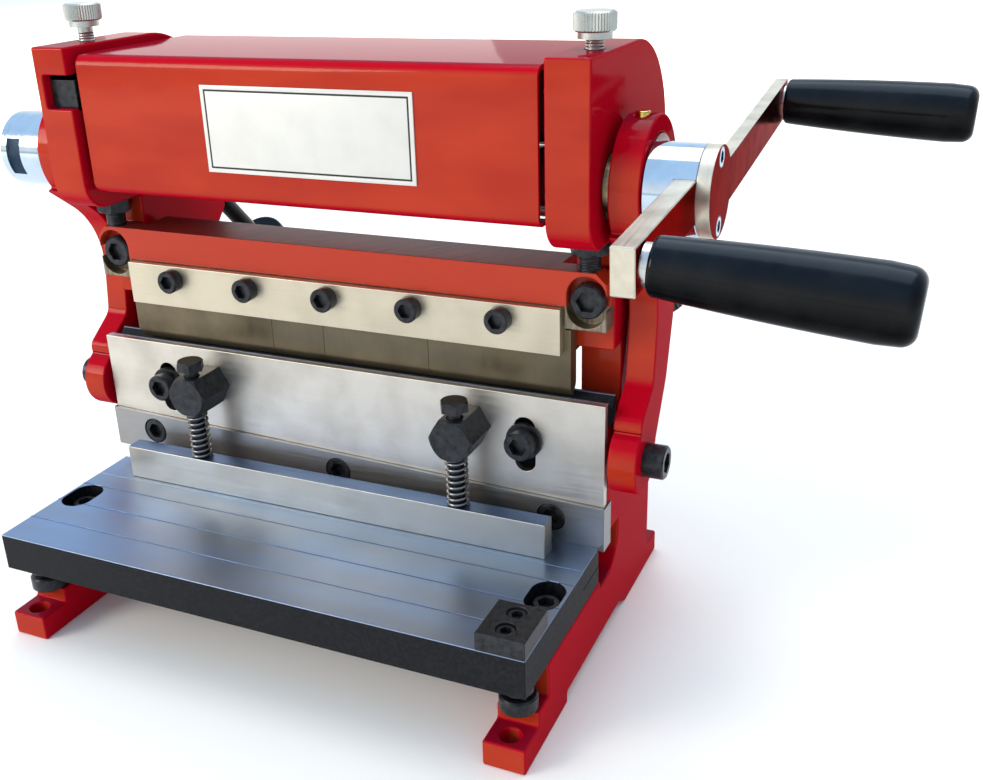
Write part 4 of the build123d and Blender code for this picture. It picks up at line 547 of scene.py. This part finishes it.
def arm_finish(colours, name):
    """Flat bar steel: edges and ends brushed bright, sides darker and polished and tinted red as a painted
    reflection of the frame, corners eased.
    """
    tree, shader, place = start_finish(name)
    sideways = add(tree, "Math", {"operation": "ABSOLUTE"}, (facing(tree)["X"],)).outputs["Value"]
    side = add(tree, "MapRange", {}, (sideways, 0.75, 0.9, 0.0, 1.0)).outputs["Result"]
    lines = pattern(tree, place, (0.8, 22.0, 22.0))
    cloud = pattern(tree, place, (9.0, 9.0, 9.0), 3.0)
    edge = toned(tree, cloud, 0.4, 0.7, 0.4, colours.arm_edge, colours.dull)
    face = toned(tree, cloud, 0.35, 0.7, 1.0, colours.arm_side_and_red_reflection, dimmed(colours.arm_side_and_red_reflection, 0.7))
    brushed = add(tree, "MapRange", {}, (lines, 0.3, 0.7, 0.32, 0.46)).outputs["Result"]
    polished = add(tree, "MapRange", {}, (cloud, 0.3, 0.7, 0.16, 0.26)).outputs["Result"]
    inputs = {
        "Base Color": toned(tree, side, 0.0, 1.0, 1.0, edge, face),
        # The sides' reflections are tinted red, a painted reflection of the red frame
        "Specular Tint": toned(tree, side, 0.0, 1.0, 1.0, linear("#FFFFFF"), colours.arm_red_reflection_tint),
        "Metallic": 1.0,
        "Roughness": add(tree, "Mix", {"data_type": "FLOAT"}, {0: side, 2: brushed, 3: polished}).outputs[0],
    }
    finish_surface(tree, shader, inputs, lines, 0.006, corner=0.4)


def plastic_finish(colours, name):
    """Moulded black plastic, polished in the mould, with faint rubbing."""
    tree, shader, place = start_finish(name)
    rub = pattern(tree, place, (9.0, 9.0, 9.0), 5.0)
    grey = tuple(part + 0.004 for part in colours.plastic)
    upward = facing(tree)["Z"]
    inputs = {
        "Base Color": toned(tree, rub, 0.4, 0.7, 1.0, colours.plastic, grey),
        "IOR": 1.5,
        # The undersides of the grips mirror less, a painted shade of the dark ground below them
        "Specular IOR Level": add(tree, "MapRange", {}, (upward, -0.4, 0.2, 0.03, 0.22)).outputs["Result"],
        # The tops' gloss is tinted blue, a painted reflection of the sky
        "Specular Tint": toned(tree, upward, 0.1, 0.8, 1.0, colours.grip_glance, colours.grip_sky),
        "Roughness": add(tree, "MapRange", {}, (rub, 0.35, 0.7, 0.17, 0.24)).outputs["Result"],
    }
    finish_surface(tree, shader, inputs, pattern(tree, place, (2.0, 2.0, 2.0)), 0.004)


def label_finish(name, colour, rough):
    """Printed aluminium foil plate under a satin lacquer."""
    tree, shader, place = start_finish(name)
    grain = pattern(tree, place, (12.0, 0.5, 0.5))
    cloud = pattern(tree, place, (12.0, 12.0, 12.0), 3.0)
    inputs = {
        "Base Color": toned(tree, cloud, 0.4, 0.7, 0.5, colour, dimmed(colour, 0.86)),
        "Metallic": 0.15,
        "Roughness": add(tree, "MapRange", {}, (grain, 0.3, 0.7, rough, rough + 0.12)).outputs["Result"],
    }
    finish_surface(tree, shader, inputs, grain, 0.004)


def floor_finish(colours, name):
    """Matt pale paint with slow clouds of about 400 mm."""
    tree, shader, place = start_finish(name)
    cloud = pattern(tree, place, (400.0, 400.0, 400.0), 3.0)
    pale = toned(tree, cloud, 0.0, 1.0, 1.0, colours.floor, dimmed(colours.floor, 0.97))
    feed(tree, shader, {"Base Color": pale, "Roughness": 0.8})


def only(*pieces):
    """Selects these pieces alone, in object mode, with the first one active."""
    if bpy.context.object is not None and bpy.context.object.mode != "OBJECT":
        bpy.ops.object.mode_set(mode="OBJECT")
    bpy.ops.object.select_all(action="DESELECT")
    for piece in pieces:
        piece.select_set(True)
    bpy.context.view_layer.objects.active = pieces[0]


def finish_named(name):
    material = bpy.data.materials.get(name)
    if material is None:
        raise RuntimeError(f"the finish {name} has to be made first")
    return material


def dress(piece, finish):
    piece.data.materials.clear()
    piece.data.materials.append(finish_named(finish))


def dress_nodes(finishes):
    """Gives CAD nodes that keep their meshes their finishes."""
    for finish, nodes in finishes.items():
        for node in nodes:
            dress(frame["nodes"][node], finish)


def body_of(node):
    return frame["nodes"][node]["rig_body"]


def merged_copy(node):
    """A copy of a CAD node whose loose triangles are joined into whole faces."""
    source = frame["nodes"][node]
    piece = bpy.data.objects.new(node + "_dressed", source.data.copy())
    bpy.context.scene.collection.objects.link(piece)
    only(piece)
    bpy.ops.mesh.customdata_custom_splitnormals_clear()
    bpy.ops.object.mode_set(mode="EDIT")
    bpy.ops.mesh.select_all(action="SELECT")
    bpy.ops.mesh.remove_doubles(threshold=MERGE_GAP * MM)
    bpy.ops.mesh.dissolve_limited(angle_limit=math.radians(FLAT_ANGLE))
    bpy.ops.object.mode_set(mode="OBJECT")
    return piece


def eased_copy(node, radius, finish):
    """Stands for a CAD node with its sharp edges rounded to a radius in millimetres."""
    piece = merged_copy(node)
    bpy.ops.object.shade_smooth()
    ease = piece.modifiers.new("eased edges", "BEVEL")
    ease.limit_method = "ANGLE"
    ease.angle_limit = math.radians(SHARP_ANGLE)
    ease.width = radius * MM
    ease.segments = EASE_STEPS
    ease.use_clamp_overlap = False
    ease.loop_slide = False
    ease.harden_normals = True
    ease.miter_outer = "MITER_ARC"
    bpy.ops.object.modifier_apply(modifier=ease.name)
    dress(piece, finish)
    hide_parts(node)
    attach(piece, body_of(node))
    return piece


def ease_nodes(rows):
    """Stands eased copies in place of the nodes of each row of finish, slot and edge radii."""
    for finish, slot, radii in rows:
        for node, radius in radii.items():
            eased_copy(node, radius, finish)


class MACHINE_OT_finishes(bpy.types.Operator):
    """Make every finish of the machine"""

    bl_idname = "machine.finishes"
    bl_label = "Make Finishes"

    def execute(self, context):
        colours = context.scene.machine_colours
        enamel_finish(colours, "red alkyd enamel")
        # The bearing blocks' pockets in the heads, and the moving beam's front, are machined after painting.
        # Each bare place is a box that reaches a little past what the CAD cuts there
        # These bare places are painted near black, as painted shade in the pockets and behind the plate's slot
        block_low, block_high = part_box("upper_bearing_blocks")
        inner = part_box("rear_tie_bar")[1].x - 2 * MM
        low = (inner, block_low.y + 0.2 * MM, block_low.z - MM)
        high = (block_high.x + 2 * MM, block_high.y + 4 * MM, block_low.z + POCKET_HEIGHT * MM)
        enamel_finish(colours, "red enamel with bare pockets", (low, high))
        ram_low, ram_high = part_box("moving_beam")
        low = (0.0, ram_low.y - MM, 0.0)
        high = (2 * ram_high.x, ram_low.y + 0.3 * MM, 2 * ram_high.z)
        enamel_finish(colours, "red enamel with a bare front", (low, high))
        beam_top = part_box("upper_beam")[1].z
        beam_finish(colours, "upper beam enamel and bare steel", beam_top, beam_top - EAR_DROP * MM)

        ground = (30.0, 0.7, 0.7)
        ground_finish(colours, "surface-ground steel", colours.ground, ground, 0.35)
        ground_finish(colours, "bright milled steel", colours.bright, (24.0, 0.8, 0.8), 0.25)
        ground_finish(colours, "cool ground steel", colours.blade, ground, 0.35)
        ground_finish(colours, "hold-down bar steel", colours.cool, ground, 0.25, colours.cool_top_sky)
        arm_finish(colours, "brushed and polished bar steel")
        table_finish(colours, "ground table steel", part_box("table_plate")[1].z)
        table_finish(colours, "ground blade steel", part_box("lower_shear_blade")[1].z)
        table_finish(colours, "ground die steel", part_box("v_die")[1].z)
        finger_finish(colours, "hardened finger steel")

        black_finish(colours, "black oxide steel")
        stud_low, stud_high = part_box("beam_jacks")
        black_finish(colours, "black oxide studs", (stud_low.z, stud_high.z - NUT_AND_SEAT * MM))
        # Turned pieces have lines round X, and drawn and plated ones fine lines across Z
        turned = (0.8, 20.0, 20.0)
        bright_finish("bright chrome plate", colours.chrome, 0.05, 0.12, turned, 0.002)
        bright_finish("turned roll steel", colours.roll, 0.16, 0.28, (0.7, 20.0, 20.0), 0.004)
        stem_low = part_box("thumb_screw_right")[0].z
        stem = (stem_low, stem_low + THUMB_STEM * MM)
        bright_finish("zinc plate", colours.zinc, 0.24, 0.38, (3.0, 3.0, 0.8), 0.004, stem)
        bright_finish("spring steel wire", colours.spring, 0.24, 0.36, (2.0, 2.0, 0.6), 0.004)
        bright_finish("turned bronze", colours.bronze, 0.22, 0.34, (0.8, 8.0, 8.0), 0.004)
        bright_finish("bright brass", colours.brass, 0.12, 0.22, (2.0, 2.0, 0.6), 0.003)
        plastic_finish(colours, "moulded black plastic")
        label_finish("lacquered label plate", colours.label, 0.3)
        label_finish("printed label border", colours.ink, 0.32)
        floor_finish(colours, "pale painted floor")
        return {"FINISHED"}


class MACHINE_OT_castings(bpy.types.Operator):
    """Round the edges of the painted castings and the cover and paint them"""

    bl_idname = "machine.castings"
    bl_label = "Painted Castings"

    def execute(self, context):
        ease_nodes(CASTINGS)
        dress_nodes(BEAM)
        return {"FINISHED"}


class MACHINE_OT_bars(bpy.types.Operator):
    """Break the edges of the ground bars, blades and fingers"""

    bl_idname = "machine.bars"
    bl_label = "Ground Bars and Fingers"

    def execute(self, context):
        ease_nodes(BARS)
        return {"FINISHED"}


class MACHINE_OT_table(bpy.types.Operator):
    """Finish the table and the black blocks"""

    bl_idname = "machine.table"
    bl_label = "Table and Black Blocks"

    def execute(self, context):
        ease_nodes(TABLE_AND_BLOCKS)
        return {"FINISHED"}


class MACHINE_OT_hardware(bpy.types.Operator):
    """Give the screws, hubs, rolls, thumb screws, oilers and grips their finishes"""

    bl_idname = "machine.hardware"
    bl_label = "Screws, Hubs, Rolls and Grips"

    def execute(self, context):
        dress_nodes(HARDWARE)
        return {"FINISHED"}


def coil(sizes, low, turns, rise):
    """A coil of wire round Z, from one height, with the given turns and rise for each turn."""
    bpy.ops.mesh.primitive_circle_add(
        vertices=WIRE_CORNERS,
        radius=sizes.spring_wire,
        location=(sizes.spring_radius, 0, low),
        rotation=(math.pi / 2, 0, 0),
    )
    piece = bpy.context.object
    bpy.ops.object.transform_apply(location=True, rotation=True, scale=True)
    wind = piece.modifiers.new("wound wire", "SCREW")
    wind.axis = "Z"
    wind.angle = 2 * math.pi
    wind.screw_offset = rise
    wind.iterations = turns
    wind.steps = TURN_STEPS
    wind.render_steps = TURN_STEPS
    bpy.ops.object.modifier_apply(modifier=wind.name)
    return piece


def hold_down_spring(node, sizes):
    """A closed and ground compression spring in place of a CAD spring."""
    low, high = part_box(node)
    height = high.z - low.z
    start = sizes.spring_wire * (1 - GROUND_SHARE)
    rise = (height - 2 * start - 2 * sizes.end_pitch) / SPRING_TURNS
    first = coil(sizes, start, 1, sizes.end_pitch)
    active = coil(sizes, start + sizes.end_pitch, SPRING_TURNS, rise)
    last = coil(sizes, start + sizes.end_pitch + SPRING_TURNS * rise, 1, sizes.end_pitch)
    only(first, active, last)
    bpy.ops.object.join()
    spring = bpy.context.object
    spring.name = node + "_wound"
    bpy.ops.object.mode_set(mode="EDIT")
    bpy.ops.mesh.select_all(action="SELECT")
    bpy.ops.mesh.remove_doubles(threshold=COIL_GAP * MM)
    bpy.ops.mesh.select_all(action="DESELECT")
    bpy.ops.mesh.select_mode(type="EDGE")
    bpy.ops.mesh.select_non_manifold()
    bpy.ops.mesh.fill()
    for plane, clear_inner, clear_outer in ((0.0, True, False), (height, False, True)):
        bpy.ops.mesh.select_all(action="SELECT")
        bpy.ops.mesh.bisect(
            plane_co=(0, 0, plane),
            plane_no=(0, 0, 1),
            use_fill=True,
            clear_inner=clear_inner,
            clear_outer=clear_outer,
            threshold=CUT_GAP * MM,
        )
    bpy.ops.mesh.select_all(action="SELECT")
    bpy.ops.mesh.normals_make_consistent(inside=False)
    bpy.ops.object.mode_set(mode="OBJECT")
    bpy.ops.object.shade_smooth_by_angle(angle=math.radians(COIL_SMOOTH))
    bpy.ops.transform.translate(value=((low.x + high.x) / 2, (low.y + high.y) / 2, low.z))
    bpy.ops.object.transform_apply(location=True, rotation=True, scale=True)
    return spring


class MACHINE_OT_springs(bpy.types.Operator):
    """Wind the two hold-down springs"""

    bl_idname = "machine.springs"
    bl_label = "Hold-down Springs"

    def execute(self, context):
        sizes = context.scene.machine_sizes
        for node in ("hold_down_spring_left", "hold_down_spring_right"):
            spring = hold_down_spring(node, sizes)
            dress(spring, "spring steel wire")
            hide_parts(node)
            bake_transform(spring)
        return {"FINISHED"}


class MACHINE_OT_label(bpy.types.Operator):
    """Make the bare label plate with its sunk dark border"""

    bl_idname = "machine.label"
    bl_label = "Label Plate"

    def execute(self, context):
        sizes = context.scene.machine_sizes
        low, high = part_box("label_plate")
        middle = (low + high) / 2
        bpy.ops.mesh.primitive_cube_add(size=1, location=middle, scale=high - low)
        plate = context.object
        plate.name = "label_plate_bordered"
        bpy.ops.object.transform_apply(location=True, rotation=True, scale=True)
        plate.data.materials.append(finish_named("lacquered label plate"))
        plate.data.materials.append(finish_named("printed label border"))
        bpy.ops.object.mode_set(mode="EDIT")
        bpy.ops.mesh.select_mode(type="FACE")
        bpy.ops.mesh.select_all(action="DESELECT")
        mesh = bmesh.from_edit_mesh(plate.data)
        front = min(mesh.faces, key=lambda face: face.calc_center_median().y)
        front.select = True
        bmesh.update_edit_mesh(plate.data)
        bpy.ops.mesh.inset(thickness=sizes.border_inset)
        bpy.ops.mesh.inset(thickness=sizes.border_width)
        mesh = bmesh.from_edit_mesh(plate.data)
        face_middle = Vector((middle.x, low.y, middle.z))
        inner = min(mesh.faces, key=lambda face: (face.calc_center_median() - face_middle).length)
        border = [face for edge in inner.edges for face in edge.link_faces if face is not inner]
        for face in mesh.faces:
            face.select = face in border
        for face in border:
            face.material_index = 1
        bmesh.update_edit_mesh(plate.data)
        bpy.ops.mesh.inset(thickness=sizes.border_wall, depth=-sizes.border_depth)
        bpy.ops.object.mode_set(mode="OBJECT")
        ease = plate.modifiers.new("eased edges", "BEVEL")
        ease.limit_method = "ANGLE"
        ease.angle_limit = math.radians(LABEL_SHARP)
        ease.width = sizes.label_edge
        ease.segments = LABEL_STEPS
        bpy.ops.object.modifier_apply(modifier=ease.name)
        bpy.ops.object.shade_smooth_by_angle(angle=math.radians(LABEL_SMOOTH))
        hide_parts("label_plate")
        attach(plate, body_of("label_plate"))
        return {"FINISHED"}


def photo_camera(scene):
    """Stands the camera where the photograph was taken."""
    camera = bpy.data.objects.new("photo camera", bpy.data.cameras.new("photo camera"))
    scene.collection.objects.link(camera)
    turn = Matrix.Rotation(math.radians(CAMERA_TURN), 4, "Z")
    tilt = Matrix.Rotation(math.radians(CAMERA_TILT), 4, "X")
    roll = Matrix.Rotation(math.radians(CAMERA_ROLL), 4, "Z")
    camera.matrix_world = Matrix.Translation(CAMERA_PLACE) @ turn @ tilt @ roll
    camera.data.sensor_width = CAMERA_SENSOR
    camera.data.sensor_fit = "HORIZONTAL"
    camera.data.lens = CAMERA_LENS
    camera.data.shift_x, camera.data.shift_y = CAMERA_SHIFT
    camera.data.clip_start = CAMERA_NEAR
    scene.camera = camera


def pale_floor(size):
    """Lays the floor that the machine stands on."""
    bpy.ops.object.select_all(action="DESELECT")
    bpy.ops.mesh.primitive_grid_add(x_subdivisions=8, y_subdivisions=8, size=size, location=(0, 0, 0))
    floor = bpy.context.object
    floor.name = "pale_floor"
    dress(floor, "pale painted floor")


def bright_room(scene):
    """Surrounds the machine with a soft glow, warm near the floor and blue overhead."""
    world = bpy.data.worlds.new("soft studio")
    world.use_nodes = True
    sky = world.node_tree
    direction = add(sky, "TexCoord", {}, {}).outputs["Generated"]
    parts = add(sky, "SeparateXYZ", {}, {"Vector": direction}).outputs
    glow = toned(sky, parts["Z"], 0.05, 0.6, 1.0, ROOM_LOW, ROOM_HIGH)
    # The room is darker on the crank side
    glow = toned(sky, parts["X"], 0.0, 0.8, ROOM_SHADE, glow, (0.0, 0.0, 0.0))
    feed(sky, sky.nodes["Background"], {"Color": glow, "Strength": ROOM_STRENGTH})
    scene.world = world


def hang_lamps(scene):
    """Hangs the square softboxes, each turned to its aim."""
    for name, place, target, side, power, colour in LAMPS:
        lamp = bpy.data.lights.new(name, "AREA")
        lamp.shape = "SQUARE"
        lamp.size = side
        lamp.energy = power
        lamp.color = colour
        holder = bpy.data.objects.new(name, lamp)
        scene.collection.objects.link(holder)
        aim = (Vector(target) - Vector(place)).to_track_quat("-Z", "Y")
        holder.matrix_world = Matrix.Translation(place) @ aim.to_matrix().to_4x4()


class MACHINE_OT_stage(bpy.types.Operator):
    """Set up the camera, the pale floor and the soft light"""

    bl_idname = "machine.stage"
    bl_label = "Stage, Light and Camera"

    def execute(self, context):
        photo_camera(context.scene)
        pale_floor(context.scene.machine_sizes.floor_size)
        bright_room(context.scene)
        hang_lamps(context.scene)
        context.scene.view_settings.view_transform = "Standard"
        return {"FINISHED"}


OPERATORS = (
    MACHINE_OT_finishes,
    MACHINE_OT_stage,
    MACHINE_OT_castings,
    MACHINE_OT_bars,
    MACHINE_OT_table,
    MACHINE_OT_hardware,
    MACHINE_OT_springs,
    MACHINE_OT_label,
)


class MACHINE_PT_panel(bpy.types.Panel):
    """Lists the steps that dress the machine"""

    bl_idname = "MACHINE_PT_panel"
    bl_label = "Sheet Metal Machine"
    bl_space_type = "VIEW_3D"
    bl_region_type = "UI"
    bl_category = "Machine"

    def draw(self, context):
        for group in (context.scene.machine_colours, context.scene.machine_sizes):
            for name in group.__annotations__:
                self.layout.prop(group, name)
        for step in OPERATORS:
            self.layout.operator(step.bl_idname)


def register():
    for kind in (MachineColours, MachineSizes, *OPERATORS, MACHINE_PT_panel):
        bpy.utils.register_class(kind)
    bpy.types.Scene.machine_colours = bpy.props.PointerProperty(type=MachineColours)
    bpy.types.Scene.machine_sizes = bpy.props.PointerProperty(type=MachineSizes)


def unregister():
    del bpy.types.Scene.machine_sizes
    del bpy.types.Scene.machine_colours
    for kind in reversed((MachineColours, MachineSizes, *OPERATORS, MACHINE_PT_panel)):
        bpy.utils.unregister_class(kind)


def main():
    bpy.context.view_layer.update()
    register()
    for step in (
        bpy.ops.machine.finishes,
        bpy.ops.machine.stage,
        bpy.ops.machine.castings,
        bpy.ops.machine.bars,
        bpy.ops.machine.table,
        bpy.ops.machine.hardware,
        bpy.ops.machine.springs,
        bpy.ops.machine.label,
    ):
        step()


if __name__ == "__main__":
    main()
